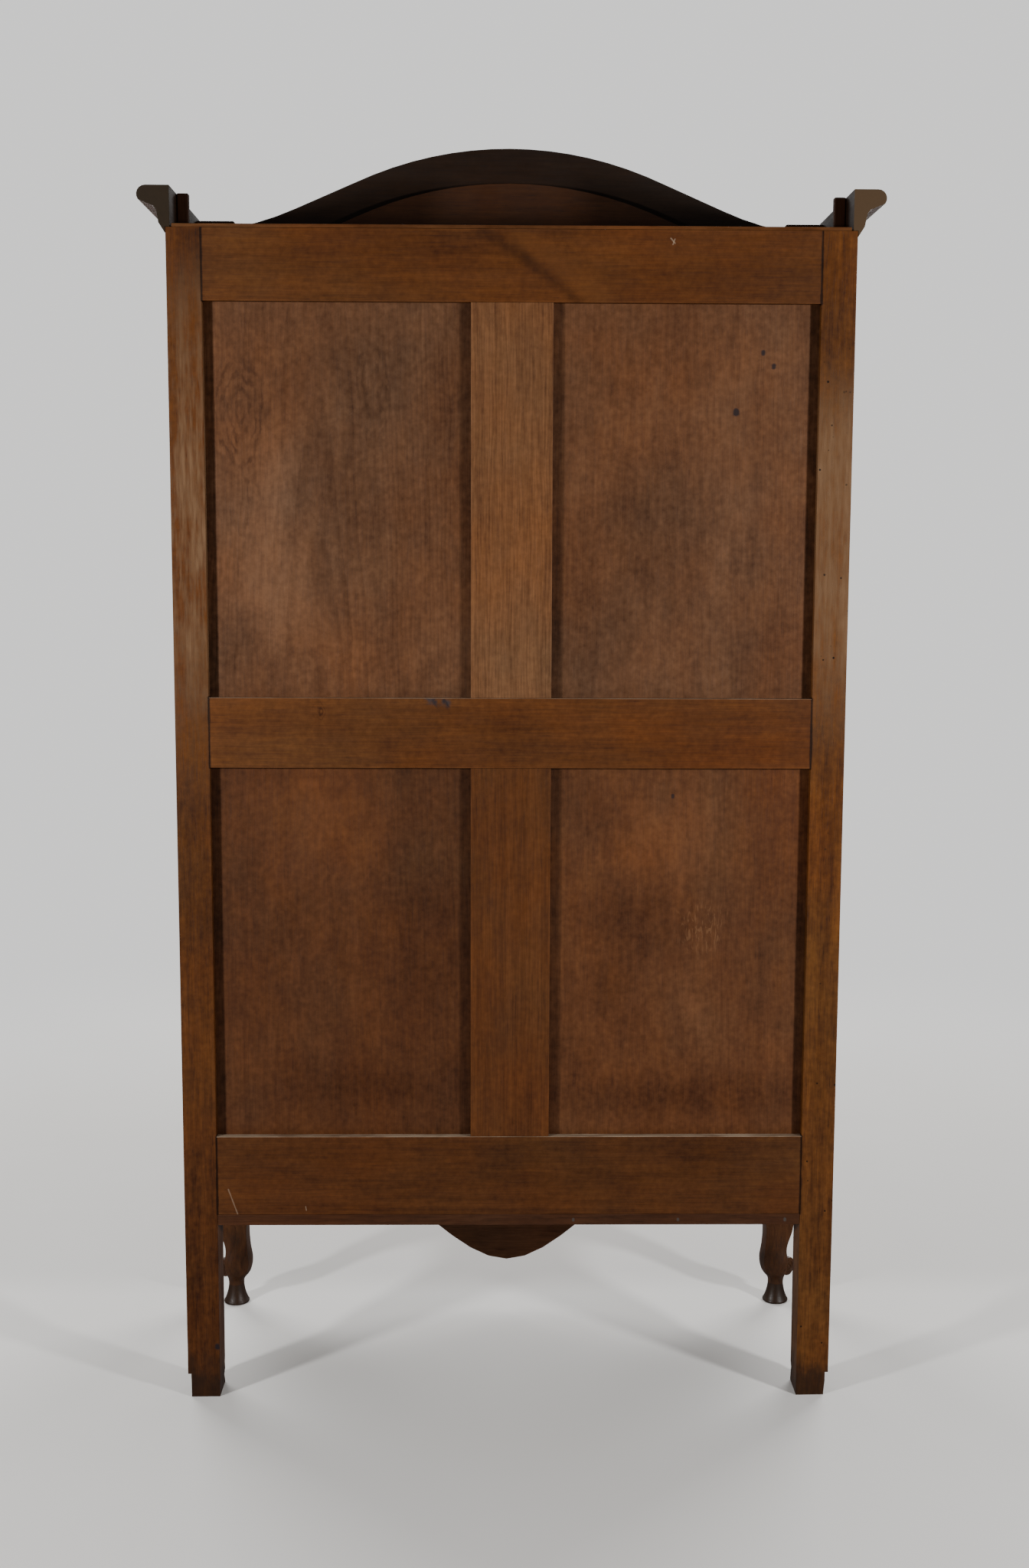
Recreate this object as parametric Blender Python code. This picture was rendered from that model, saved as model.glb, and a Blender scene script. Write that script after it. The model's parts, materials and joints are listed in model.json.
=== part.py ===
"""Display cabinet: a framed and panelled carcase with an arched cornice, scrolled front legs,
glazed sides, shelves and two doors that hang on lift-off hinges.

Units are metres, +Z is up. The doors face -Y, and left is -X for someone who faces them.
The origin lies on the floor, under the middle of the overall box.
"""

import math

import bmesh
import bpy
from mathutils import Matrix, Vector

# Clearances
FIT = 0.0003            # between pieces that touch or house each other
RUN = 0.0005            # between pieces that slide or turn in each other
DOOR_GAP = 0.002        # round the doors
MEETING_GAP = 0.002     # between the two doors

# Carcase
BODY_WIDTH = 1.013
BODY_DEPTH = 0.400
POST_TOP = 1.795
POST_WIDTH = 0.051
POST_DEPTH = 0.055
POST_ROUND = 0.010      # rounded outer corner of the front posts
FACE_SETBACK = 0.002    # doors, frieze and apron behind the front of the posts
SIDE_SETBACK = 0.002    # side frames inside the outer face of the posts
FRAME_THICK = 0.022     # doors, frieze, apron and side frames
REAR_STEP_HEIGHT = 0.038
REAR_STEP = 0.005

# Joinery
TENON_LENGTH = 0.020
TENON_THICK = 0.008
TENON_SHOULDER = 0.013
TENON_ROOT = 0.002      # tenon inside the end of its own rail
PANEL_LAP = 0.009       # how far panels and panes enter their grooves

# Back frame
BACK_THICK = 0.026
BACK_TOP_RAIL_HEIGHT = 0.1045
BACK_MIDDLE_RAIL_TOP = 1.1075
BACK_MIDDLE_RAIL_HEIGHT = 0.1063
BACK_BOTTOM_RAIL_HEIGHT = 0.1252
MUNTIN_WIDTH = 0.1214
BACK_PANEL_THICK = 0.006
BACK_PANEL_RECESS = 0.0135

# Boards and shelves
BOTTOM_BOARD_TOP = 0.299
BOTTOM_BOARD_THICK = 0.0174
TOP_BOARD_THICK = 0.005
TOP_BOARD_INSET = 0.009
SHELF_THICK = 0.016
SHELF_HEIGHTS = {"lower": 0.660, "middle": 1.040, "upper": 1.400}
SHELF_DOOR_GAP = 0.018
SHELF_BACK_GAP = 0.002
CLEAT_OUT = 0.012       # cleats on the posts, under the corners of the shelves
CLEAT_TALL = 0.014
CLEAT_ROOT = 0.002      # cleat inside its post

# Cornice and the arch of the front
CORNICE_SET = 0.0065    # inner face inside the faces of the posts
CORNICE_HEIGHT = 0.0592
CORNICE_FLAT = 0.035    # width of the flat top
NOSE_RADIUS = 0.013
NOSE_SWEEP = 125.0      # degrees of the rounded nose
COVE_OUT = 0.029
COVE_TOP = 0.032
COVE_FOOT_OUT = 0.0185
COVE_FOOT = 0.0165
BEAD_OUT = 0.0165
BEAD_FOOT = 0.006
LIP_OUT = 0.007
LIP_DROP = 0.009
CROWN_RADIUS = 0.62     # convex middle of the arch
ARCH_FOOT_RADIUS = 0.475
ARCH_SLOPE = 23.2       # degrees
ARCH_STATIONS = 28
BLOCK_WIDTH = 0.018
BLOCK_THICK = 0.012
BLOCK_BACK = 0.067      # middle of a block from the back of the cabinet

# Aprons
APRON_TOP = 0.316
APRON_ARCH = 0.232      # lower edge of the aprons in their arches
APRON_DROP_TIP = 0.075  # lowest point of the middle drop
APRON_DROP_HALF = 0.280
APRON_BRACKET = 0.168   # lower edge against the front legs
APRON_BRACKET_RUN = 0.095
SIDE_BRACKET_REAR = 0.132
SIDE_BRACKET_RUN = 0.105
APRON_STATIONS = 28
SIDE_APRON_STATIONS = 12

# Side frames
SIDE_TOP_RAIL_HEIGHT = 0.095
GLASS_THICK = 0.003

# Front legs and feet
LEG_TOP = 0.300
KNEE_HIGH = 0.255
KNEE_LOW = 0.210
KNEE_OUT = 0.005        # outer faces of the knee outside the post
KNEE_FOOT_OUT = 0.0015
SHIN_HEIGHT = 0.137
SHIN_HOLLOW = 0.0035    # inner faces inside the post
ANKLE_HEIGHT = 0.105
ANKLE_HOLLOW = 0.0085   # outer faces inside the post
TOE_HEIGHT = 0.078
TOE_SWELL = 0.004       # inner faces outside the post
TOE_HOLLOW = 0.006
HEEL_HEIGHT = 0.058
HEEL_HOLLOW = 0.007
NECK_HEIGHT = 0.043
NECK_HOLLOW = 0.011
SCROLL_RADIUS = 0.017
SCROLL_LENGTH = 0.040
SCROLL_HEIGHT = 0.064
SCROLL_OUT = 0.013
FOOT_HEIGHT = 0.034
FOOT_RADIUS = 0.0225
FOOT_RIM = 0.004
FOOT_WAIST = 0.0135

# Doors
STILE_WIDTH = 0.060
FRIEZE_END_HEIGHT = 0.093  # frieze against the posts, over the doors
DOOR_ARCH = 0.062       # rise of the door tops from the hinges to the middle
DOOR_TOP_RAIL_HEIGHT = 0.075
DOOR_BOTTOM_RAIL_HEIGHT = 0.095
WAIST_BOTTOM = 0.800    # middle rail between the panel and the pane
WAIST_HEIGHT = 0.070
PANEL_THICK = 0.006
FIELD_MARGIN = 0.004
FIELD_BEVEL = 0.030
FIELD_RISE = 0.004
DOOR_STATIONS = 10

# Hinges
HINGE_END = 0.180       # from the ends of the door to the middles of the hinges
HINGE_LENGTH = 0.060
BARREL_RADIUS = 0.0045
HINGE_PIN_RADIUS = 0.0024
LEAF_THICK = 0.0016
LEAF_DEPTH = 0.020
LEAF_SHORT = 0.004      # leaf inside the ends of its barrel
ROUND_SIDES = 16

# Lock and key
LOCK_HEIGHT = 1.140
LOCK_WIDTH = 0.050
LOCK_TALL = 0.070
LOCK_THICK = 0.0095
LOCK_EDGE = 0.002       # case behind the meeting edge of the door
LOCK_WALL = 0.0015
LOCK_BACKSET = 0.030    # key axis from the meeting edge
BOLT_TIP = 0.001        # tip of the withdrawn bolt inside its case
BOLT_LENGTH = 0.036
BOLT_TALL = 0.016
BOLT_THICK = 0.004
KEY_SHANK_RADIUS = 0.003
KEY_BIT_REACH = 0.008
KEY_BIT_WIDTH = 0.003
KEY_STAND_OFF = 0.014   # bow in front of the door
BOW_RADIUS = 0.009
BOW_WIRE = 0.002
KEYHOLE_SLOT = 0.0105
KEYHOLE_SLOT_WIDTH = 0.005

# Bolts in the meeting stile of the left door
ROD_WIDTH = 0.008
ROD_THICK = 0.006
ROD_LENGTH = 0.090
ROD_END_GAP = 0.004     # end of the withdrawn rod inside the door
ROD_TRAVEL = 0.012
KNOB_RADIUS = 0.003
KNOB_OUT = 0.008
KNOB_END = 0.055        # knob from the end of the door

# Places that follow from the sizes
CORNICE_OUT = CORNICE_FLAT + NOSE_RADIUS
REAR = (BODY_DEPTH - CORNICE_SET + CORNICE_OUT) / 2
FRONT = REAR - BODY_DEPTH
SIDE = BODY_WIDTH / 2
POST_IN = SIDE - POST_WIDTH
REAR_POST_FRONT = REAR - POST_DEPTH
FRONT_POST_BACK = FRONT + POST_DEPTH
FACE = FRONT + FACE_SETBACK
FACE_BACK = FACE + FRAME_THICK
SIDE_OUT = SIDE - SIDE_SETBACK
SIDE_IN = SIDE_OUT - FRAME_THICK
BACK_IN = REAR - BACK_THICK
TOP_BOARD_TOP = POST_TOP + FIT + TOP_BOARD_THICK
CORNICE_SEAT = POST_TOP + FIT
CORNICE_IN = SIDE - CORNICE_SET
CORNICE_IN_Y = FRONT + CORNICE_SET
ARCH_SPAN = CORNICE_IN + CORNICE_OUT
WAIST_TOP = WAIST_BOTTOM + WAIST_HEIGHT
DOOR_BOTTOM = APRON_TOP + DOOR_GAP
DOOR_TOP_EDGE = POST_TOP - FRIEZE_END_HEIGHT - DOOR_GAP
HINGE_X = POST_IN - DOOR_GAP / 2
HINGE_Y = FRONT - BARREL_RADIUS - RUN
KEY_X = MEETING_GAP / 2 + LOCK_BACKSET
LOCK_FRONT = FACE_BACK + FIT
BOLT_FRONT = LOCK_FRONT + LOCK_WALL
ROD_X = -(MEETING_GAP + STILE_WIDTH) / 2
ROD_FRONT = FACE + (FRAME_THICK - ROD_THICK) / 2
SHELF_FRONT = FACE_BACK + SHELF_DOOR_GAP
SHELF_REAR = BACK_IN - SHELF_BACK_GAP

# Finishes: colour, roughness and metallic value
WALNUT = ((0.230, 0.105, 0.045, 1.0), 0.55, 0.0)
DARK_WALNUT = ((0.120, 0.050, 0.022, 1.0), 0.55, 0.0)
PANEL_WOOD = ((0.170, 0.072, 0.030, 1.0), 0.60, 0.0)
PALE_WOOD = ((0.300, 0.170, 0.085, 1.0), 0.70, 0.0)
PANE = ((0.850, 0.900, 0.880, 0.3), 0.05, 0.0)
BRASS = ((0.600, 0.420, 0.160, 1.0), 0.35, 1.0)
STEEL = ((0.420, 0.400, 0.370, 1.0), 0.40, 1.0)


def clear_scene():
    for item in list(bpy.data.objects):
        bpy.data.objects.remove(item, do_unlink=True)


# Curves of the front

def arch_rise(x):
    """Height of the arched front over its level ends, at a distance x from the middle."""
    x = abs(x)
    slope = math.radians(ARCH_SLOPE)
    crown_end = CROWN_RADIUS * math.sin(slope)
    foot_start = ARCH_SPAN - ARCH_FOOT_RADIUS * math.sin(slope)
    foot_height = ARCH_FOOT_RADIUS * (1 - math.cos(slope))
    if x >= ARCH_SPAN:
        return 0.0
    if x >= foot_start:
        return ARCH_FOOT_RADIUS - math.sqrt(ARCH_FOOT_RADIUS**2 - (ARCH_SPAN - x) ** 2)
    if x >= crown_end:
        return foot_height + (foot_start - x) * math.tan(slope)
    crown_foot = foot_height + (foot_start - crown_end) * math.tan(slope)
    return crown_foot + math.sqrt(CROWN_RADIUS**2 - x**2) - CROWN_RADIUS * math.cos(slope)


def arch_stations():
    """Places along the front where the arched pieces have their sections."""
    return spread(-RAIL_END, RAIL_END, ARCH_STATIONS)


def door_top(x):
    """Top edge of the doors, a flatter copy of the arch."""
    edge = arch_rise(POST_IN - DOOR_GAP)
    return DOOR_TOP_EDGE + DOOR_ARCH * (arch_rise(x) - edge) / (arch_rise(0.0) - edge)


def ease(share):
    """Smooth step from 0 to 1, level at both ends."""
    share = min(1.0, max(0.0, share))
    return share * share * (3 - 2 * share)


def front_apron_edge(x):
    """Lower edge of the front apron: a drop in the middle and a bracket at each leg."""
    drop = (APRON_ARCH - APRON_DROP_TIP) * (1 - ease(abs(x) / APRON_DROP_HALF))
    to_leg = 1 - (POST_IN - abs(x)) / APRON_BRACKET_RUN
    return APRON_ARCH - drop - (APRON_ARCH - APRON_BRACKET) * ease(to_leg)


def side_apron_edge(y):
    """Lower edge of the side aprons: an arch between two brackets."""
    to_rear = 1 - (REAR_POST_FRONT - y) / SIDE_BRACKET_RUN
    to_front = 1 - (y - FRONT_POST_BACK) / SIDE_BRACKET_RUN
    rear = (APRON_ARCH - SIDE_BRACKET_REAR) * ease(to_rear)
    front = (APRON_ARCH - APRON_BRACKET) * ease(to_front)
    return APRON_ARCH - rear - front


def spread(first, last, count):
    """Evenly spaced values from first to last."""
    return [first + (last - first) * i / count for i in range(count + 1)]


# Solids

def add_box(bm, low, high):
    """Adds a box between two corners, given in any order."""
    size = [abs(b - a) for a, b in zip(low, high)]
    middle = [(a + b) / 2 for a, b in zip(low, high)]
    bmesh.ops.create_cube(bm, size=1.0, matrix=Matrix.Translation(middle) @ Matrix.Diagonal((*size, 1.0)))


def add_rod(bm, start, end, radius, sides=ROUND_SIDES):
    """Adds a round bar from start to end."""
    start, end = Vector(start), Vector(end)
    along = end - start
    turn = Vector((0, 0, 1)).rotation_difference(along).to_matrix().to_4x4()
    place = Matrix.Translation((start + end) / 2) @ turn
    bmesh.ops.create_cone(
        bm, cap_ends=True, segments=sides, radius1=radius, radius2=radius, depth=along.length, matrix=place
    )


def add_loft(bm, rings):
    """Adds a closed solid through rings of points, capped at its first and last ring."""
    loops = [[bm.verts.new(point) for point in ring] for ring in rings]
    for near, far in zip(loops, loops[1:]):
        for i in range(len(near)):
            j = (i + 1) % len(near)
            bm.faces.new((near[i], near[j], far[j], far[i]))
    bm.faces.new(loops[0])
    bm.faces.new(loops[-1])


def add_board(bm, across, low, high, near, far, along="x"):
    """Adds a board whose lower and upper edges are functions of its length."""
    def point(u, depth, z):
        return (u, depth, z) if along == "x" else (depth, u, z)

    rings = []
    for u in across:
        lower = [point(u, near, low(u)), point(u, far, low(u))]
        upper = [point(u, far, high(u)), point(u, near, high(u))]
        rings.append(lower + upper)
    add_loft(bm, rings)


def finish_mesh(name, bm):
    """Makes an object of a mesh, with its faces pointing out."""
    bmesh.ops.recalc_face_normals(bm, faces=bm.faces[:])
    mesh = bpy.data.meshes.new(name)
    bm.to_mesh(mesh)
    bm.free()
    piece = bpy.data.objects.new(name, mesh)
    bpy.context.scene.collection.objects.link(piece)
    return piece


def box_piece(name, low, high):
    bm = bmesh.new()
    add_box(bm, low, high)
    return finish_mesh(name, bm)


def board_piece(name, across, low, high, near, far, along="x"):
    bm = bmesh.new()
    add_board(bm, across, low, high, near, far, along)
    return finish_mesh(name, bm)


def combine(piece, bm, operation):
    """Cuts the solids of a mesh out of a piece, or joins them to it."""
    tool = finish_mesh("tool", bm)
    step = piece.modifiers.new("step", "BOOLEAN")
    step.operation = operation
    step.solver = "EXACT"
    step.use_self = True
    step.object = tool
    shaped = piece.evaluated_get(bpy.context.evaluated_depsgraph_get())
    mesh = bpy.data.meshes.new_from_object(shaped)
    piece.modifiers.clear()
    old = piece.data
    piece.data = mesh
    bpy.data.meshes.remove(old)
    bpy.data.objects.remove(tool, do_unlink=True)


def grown(low, high, by=FIT):
    """The box of a piece with its clearance all round."""
    ends = [sorted(pair) for pair in zip(low, high)]
    return [a - by for a, b in ends], [b + by for a, b in ends]


def cut_boxes(piece, boxes):
    bm = bmesh.new()
    for low, high in boxes:
        add_box(bm, low, high)
    combine(piece, bm, "DIFFERENCE")


def join_boxes(piece, boxes):
    bm = bmesh.new()
    for low, high in boxes:
        add_box(bm, low, high)
    combine(piece, bm, "UNION")


def seat(piece, finish, parent, origin=None):
    """Gives a piece its finish, its origin and the empty that it hangs on."""
    colour, roughness, metallic = finish
    material = bpy.data.materials.new(piece.name + "_finish")
    material.use_nodes = True
    shader = material.node_tree.nodes["Principled BSDF"]
    shader.inputs["Base Color"].default_value = colour
    shader.inputs["Alpha"].default_value = colour[3]
    shader.inputs["Roughness"].default_value = roughness
    shader.inputs["Metallic"].default_value = metallic
    piece.data.materials.clear()
    piece.data.materials.append(material)
    if origin is None:
        corners = [Vector(corner) for corner in piece.bound_box]
        origin = sum(corners, Vector()) / len(corners)
    origin = Vector(origin)
    piece.data.transform(Matrix.Translation(-origin))
    piece.location = origin - world_place(parent)
    piece.parent = parent
    return piece


def world_place(empty):
    """World place of an empty, through the empties that it hangs on."""
    place = Vector(empty.location)
    while empty.parent:
        empty = empty.parent
        place = place + empty.location
    return place


def make_empty(name, place, parent=None):
    empty = bpy.data.objects.new(name, None)
    empty.location = Vector(place) - (world_place(parent) if parent else Vector())
    empty.parent = parent
    bpy.context.scene.collection.objects.link(empty)
    return empty


def smooth(piece, angle=40.0):
    """Shades round faces smooth and keeps the sharp edges."""
    piece.data.shade_smooth()
    piece.data.set_sharp_from_angle(angle=math.radians(angle))


# Tenons and the mortises that take them: boxes given as two corners

def rail_tenons(end, y_low, z_low, z_high):
    """Tenons at the ends of a rail that runs along X up to x = +-end."""
    boxes = []
    for side in SIDES.values():
        low = (side * (end - TENON_ROOT), y_low, z_low + TENON_SHOULDER)
        high = (side * (end + TENON_LENGTH), y_low + TENON_THICK, z_high - TENON_SHOULDER)
        boxes.append((low, high))
    return boxes


def middle_of(low, thick, inner):
    """Low side of a layer of thickness inner in the middle of a board."""
    return low + (thick - inner) / 2


BACK_TENON_Y = middle_of(BACK_IN, BACK_THICK, TENON_THICK)
FACE_TENON_Y = middle_of(FACE, FRAME_THICK, TENON_THICK)
SIDE_TENON_X = middle_of(SIDE_IN, FRAME_THICK, TENON_THICK)
RAIL_END = POST_IN - FIT
SIDES = {"left": -1, "right": 1}

BACK_RAILS = {
    "top": (POST_TOP - BACK_TOP_RAIL_HEIGHT, POST_TOP),
    "middle": (BACK_MIDDLE_RAIL_TOP - BACK_MIDDLE_RAIL_HEIGHT, BACK_MIDDLE_RAIL_TOP),
    "bottom": (BOTTOM_BOARD_TOP + FIT, BOTTOM_BOARD_TOP + FIT + BACK_BOTTOM_RAIL_HEIGHT),
}
BACK_FIELDS = {
    "upper": (BACK_RAILS["middle"][1], BACK_RAILS["top"][0]),
    "lower": (BACK_RAILS["bottom"][1], BACK_RAILS["middle"][0]),
}
SIDE_RAIL_LOW = POST_TOP - SIDE_TOP_RAIL_HEIGHT


def back_rail_tenons(rail):
    return rail_tenons(RAIL_END, BACK_TENON_Y, *BACK_RAILS[rail])


def frieze_tenons():
    low = door_top(RAIL_END) + DOOR_GAP
    return rail_tenons(RAIL_END, FACE_TENON_Y, low, POST_TOP)


def apron_tenons():
    return rail_tenons(RAIL_END, FACE_TENON_Y, front_apron_edge(RAIL_END), APRON_TOP)


def side_tenons(side, z_low, z_high):
    """Tenons at both ends of a side rail, which runs along Y between the posts."""
    boxes = []
    for end, way in ((REAR_POST_FRONT - FIT, 1), (FRONT_POST_BACK + FIT, -1)):
        low = (side * SIDE_TENON_X, end - way * TENON_ROOT, z_low + TENON_SHOULDER)
        high = (side * (SIDE_TENON_X + TENON_THICK), end + way * TENON_LENGTH, z_high - TENON_SHOULDER)
        boxes.append((low, high))
    return boxes


def side_rail_tenons(side):
    return side_tenons(side, SIDE_RAIL_LOW, POST_TOP) + side_tenons(side, APRON_BRACKET, APRON_TOP)


def muntin_tenons(field):
    low, high = BACK_FIELDS[field]
    half = MUNTIN_WIDTH / 2 - TENON_SHOULDER
    boxes = []
    for end, way in ((low + FIT, -1), (high - FIT, 1)):
        near = (-half, BACK_TENON_Y, end - way * TENON_ROOT)
        far = (half, BACK_TENON_Y + TENON_THICK, end + way * TENON_LENGTH)
        boxes.append((near, far))
    return boxes


def back_panel_box(field, side):
    low, high = BACK_FIELDS[field]
    y_far = REAR - BACK_PANEL_RECESS
    return (
        (side * (MUNTIN_WIDTH / 2 - PANEL_LAP), y_far - BACK_PANEL_THICK, low - PANEL_LAP),
        (side * (POST_IN + PANEL_LAP), y_far, high + PANEL_LAP),
    )


def side_pane_box(side):
    x_low = middle_of(SIDE_IN, FRAME_THICK, GLASS_THICK)
    return (
        (side * x_low, FRONT_POST_BACK - PANEL_LAP, APRON_TOP - PANEL_LAP),
        (side * (x_low + GLASS_THICK), REAR_POST_FRONT + PANEL_LAP, SIDE_RAIL_LOW + PANEL_LAP),
    )


def shelf_cleats(side, y_low, y_high):
    """Cleats on the inner face of a post, one under each shelf."""
    boxes = []
    for height in SHELF_HEIGHTS.values():
        low = (side * (POST_IN - CLEAT_OUT), y_low, height - FIT - CLEAT_TALL)
        boxes.append((low, (side * (POST_IN + CLEAT_ROOT), y_high, height - FIT)))
    return boxes


def hinge_heights():
    """Heights of the hinge middles on a door."""
    return {"lower": DOOR_BOTTOM + HINGE_END, "upper": DOOR_TOP_EDGE - HINGE_END}


def leaf_box(side, z, fixed):
    """Leaf of one hinge half: the fixed half is the lower one and is let into the post."""
    near_x = POST_IN if fixed else POST_IN - DOOR_GAP
    far_x = near_x + LEAF_THICK if fixed else near_x - LEAF_THICK
    far_y = (FRONT if fixed else FACE) + LEAF_DEPTH
    z_low, z_high = hinge_half(z, fixed)
    return (
        (side * near_x, HINGE_Y, z_low + LEAF_SHORT),
        (side * far_x, far_y, z_high - LEAF_SHORT),
    )


def hinge_half(z, fixed):
    """Lower and upper end of a half of a hinge barrel."""
    if fixed:
        return (z - HINGE_LENGTH / 2, z - FIT / 2)
    return (z + FIT / 2, z + HINGE_LENGTH / 2)


def leaf_recess(side, z, fixed):
    """Room for a leaf in the edge of the post or of the door, open to the door gap."""
    (near_x, near_y, z_low), (far_x, far_y, z_high) = leaf_box(side, z, fixed)
    way = side if fixed else -side
    return (
        (near_x - way * DOOR_GAP / 4, near_y, z_low - FIT),
        (far_x + way * FIT, far_y + FIT, z_high + FIT),
    )


# Carcase pieces

def make_rear_post(name, side, carcase):
    """Square post to the floor, with its worn foot stepped in on the outer side."""
    outline = [
        (POST_IN, 0.0),
        (SIDE - REAR_STEP, 0.0),
        (SIDE - REAR_STEP, REAR_STEP_HEIGHT),
        (SIDE, REAR_STEP_HEIGHT),
        (SIDE, POST_TOP),
        (POST_IN, POST_TOP),
    ]
    bm = bmesh.new()
    add_loft(bm, [[(side * x, y, z) for x, z in outline] for y in (REAR_POST_FRONT, REAR)])
    post = finish_mesh(name, bm)
    join_boxes(post, shelf_cleats(side, REAR_POST_FRONT + FIT, SHELF_REAR))
    rooms = []
    for rail in BACK_RAILS:
        rooms.append(grown(*back_rail_tenons(rail)[(side + 1) // 2]))
    for field in BACK_FIELDS:
        rooms.append(grown(*back_panel_box(field, side)))
    for box in side_rail_tenons(side)[0::2]:
        rooms.append(grown(*box))
    rooms.append(grown(*side_pane_box(side)))
    cut_boxes(post, rooms)
    seat(post, WALNUT, carcase)


def leg_sections():
    """Height, then how far the inner and the outer faces of the leg stand out from the post's."""
    waist = FOOT_WAIST - POST_WIDTH / 2
    return [
        (POST_TOP, 0.0, 0.0),
        (LEG_TOP, 0.0, 0.0),
        (KNEE_HIGH, 0.0, KNEE_OUT),
        (KNEE_LOW, 0.0, KNEE_OUT),
        (APRON_BRACKET - FIT, 0.0, KNEE_FOOT_OUT),
        (SHIN_HEIGHT, -SHIN_HOLLOW, 0.0),
        (ANKLE_HEIGHT, 0.0, -ANKLE_HOLLOW),
        (TOE_HEIGHT, TOE_SWELL, -TOE_HOLLOW),
        (HEEL_HEIGHT, 0.0, -HEEL_HOLLOW),
        (NECK_HEIGHT, -NECK_HOLLOW, -NECK_HOLLOW),
        (FOOT_HEIGHT + FIT, waist, waist),
    ]


def leg_ring(side, z, inner, outer):
    """Section of a front post at one height, its outer corner rounded."""
    low_x, high_x = POST_IN - inner, SIDE + outer
    back_y, front_y = FRONT_POST_BACK + inner, FRONT - outer
    if z < LEG_TOP / 2:
        back_y -= (POST_DEPTH - POST_WIDTH) / 2
        front_y += (POST_DEPTH - POST_WIDTH) / 2
    centre_x, centre_y = high_x - POST_ROUND, front_y + POST_ROUND
    ring = [(low_x, back_y), (low_x, front_y)]
    for step in range(5):
        turn = math.radians(90.0 * step / 4)
        ring.append((centre_x + POST_ROUND * math.sin(turn), centre_y - POST_ROUND * math.cos(turn)))
    ring.append((high_x, back_y))
    return [(side * x, y, z) for x, y in ring]


def make_front_post(name, side, carcase):
    """Front post, drawn out into a leg with a scrolled toe that points outward."""
    bm = bmesh.new()
    add_loft(bm, [leg_ring(side, *section) for section in leg_sections()])
    post = finish_mesh(name, bm)
    middle = Vector((side * (SIDE - POST_WIDTH / 2), FRONT + POST_DEPTH / 2, SCROLL_HEIGHT))
    outward = Vector((side, -1.0, 0.0)).normalized()
    across = Vector((side, 1.0, 0.0)).normalized() * SCROLL_LENGTH / 2
    toe = middle + outward * SCROLL_OUT
    bm = bmesh.new()
    add_rod(bm, toe - across, toe + across, SCROLL_RADIUS)
    combine(post, bm, "UNION")
    join_boxes(post, shelf_cleats(side, SHELF_FRONT, FRONT_POST_BACK - FIT))
    rooms = []
    for boxes in (frieze_tenons(), apron_tenons()):
        rooms.append(grown(*boxes[(side + 1) // 2]))
    for box in side_rail_tenons(side)[1::2]:
        rooms.append(grown(*box))
    rooms.append(grown(*side_pane_box(side)))
    for z in hinge_heights().values():
        rooms.append(leaf_recess(side, z, True))
    cut_boxes(post, rooms)
    seat(post, WALNUT, carcase)


def make_front_foot(name, side, carcase):
    """Turned cone foot under a scrolled toe."""
    profile = [
        (0.0, 0.0),
        (FOOT_RADIUS - FOOT_RIM / 4, 0.0),
        (FOOT_RADIUS, FOOT_RIM / 2),
        (FOOT_RADIUS - FOOT_RIM / 4, FOOT_RIM),
        (FOOT_WAIST, FOOT_HEIGHT - FOOT_RIM),
        (FOOT_WAIST, FOOT_HEIGHT),
        (0.0, FOOT_HEIGHT),
    ]
    centre = Vector((side * (SIDE - POST_WIDTH / 2), FRONT + POST_DEPTH / 2, 0.0))
    bm = bmesh.new()
    verts = [bm.verts.new(centre + Vector((radius, 0.0, z))) for radius, z in profile]
    edges = [bm.edges.new(pair) for pair in zip(verts, verts[1:])]
    bmesh.ops.spin(
        bm, geom=verts + edges, cent=centre, axis=(0, 0, 1), angle=2 * math.pi, steps=24, use_merge=True
    )
    bmesh.ops.remove_doubles(bm, verts=bm.verts[:], dist=1e-6)
    foot = finish_mesh(name, bm)
    smooth(foot)
    seat(foot, DARK_WALNUT, carcase, centre)


def make_back(carcase):
    """Flush rails and muntins, with thin panels in their grooves."""
    panels = {(field, side): back_panel_box(field, side) for field in BACK_FIELDS for side in SIDES.values()}
    for rail, (low, high) in BACK_RAILS.items():
        piece = box_piece(f"back_{rail}_rail", (-RAIL_END, BACK_IN, low), (RAIL_END, REAR, high))
        join_boxes(piece, back_rail_tenons(rail))
        rooms = [grown(*box) for box in panels.values() if box[0][2] < high and box[1][2] > low]
        for field, (field_low, field_high) in BACK_FIELDS.items():
            foot, head = muntin_tenons(field)
            if field_low == high:
                rooms.append(grown(*foot))
            if field_high == low:
                rooms.append(grown(*head))
        cut_boxes(piece, rooms)
        seat(piece, WALNUT, carcase)
    for field, (low, high) in BACK_FIELDS.items():
        half = MUNTIN_WIDTH / 2
        piece = box_piece(f"back_{field}_muntin", (-half, BACK_IN, low + FIT), (half, REAR, high - FIT))
        join_boxes(piece, muntin_tenons(field))
        cut_boxes(piece, [grown(*panels[field, side]) for side in SIDES.values()])
        seat(piece, WALNUT, carcase)
        for word, side in SIDES.items():
            seat(box_piece(f"back_panel_{field}_{word}", *panels[field, side]), PANEL_WOOD, carcase)


def notched_board(name, front, rear, low, high):
    """Board between the side frames, notched round the four posts."""
    wide, narrow = SIDE_IN - FIT, POST_IN - FIT
    notch_front, notch_rear = FRONT_POST_BACK + FIT, REAR_POST_FRONT - FIT
    half = [(narrow, front), (narrow, notch_front), (wide, notch_front)]
    half += [(wide, notch_rear), (narrow, notch_rear), (narrow, rear)]
    outline = half + [(-x, y) for x, y in reversed(half)]
    bm = bmesh.new()
    add_loft(bm, [[(x, y, z) for x, y in outline] for z in (low, high)])
    return finish_mesh(name, bm)


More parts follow.
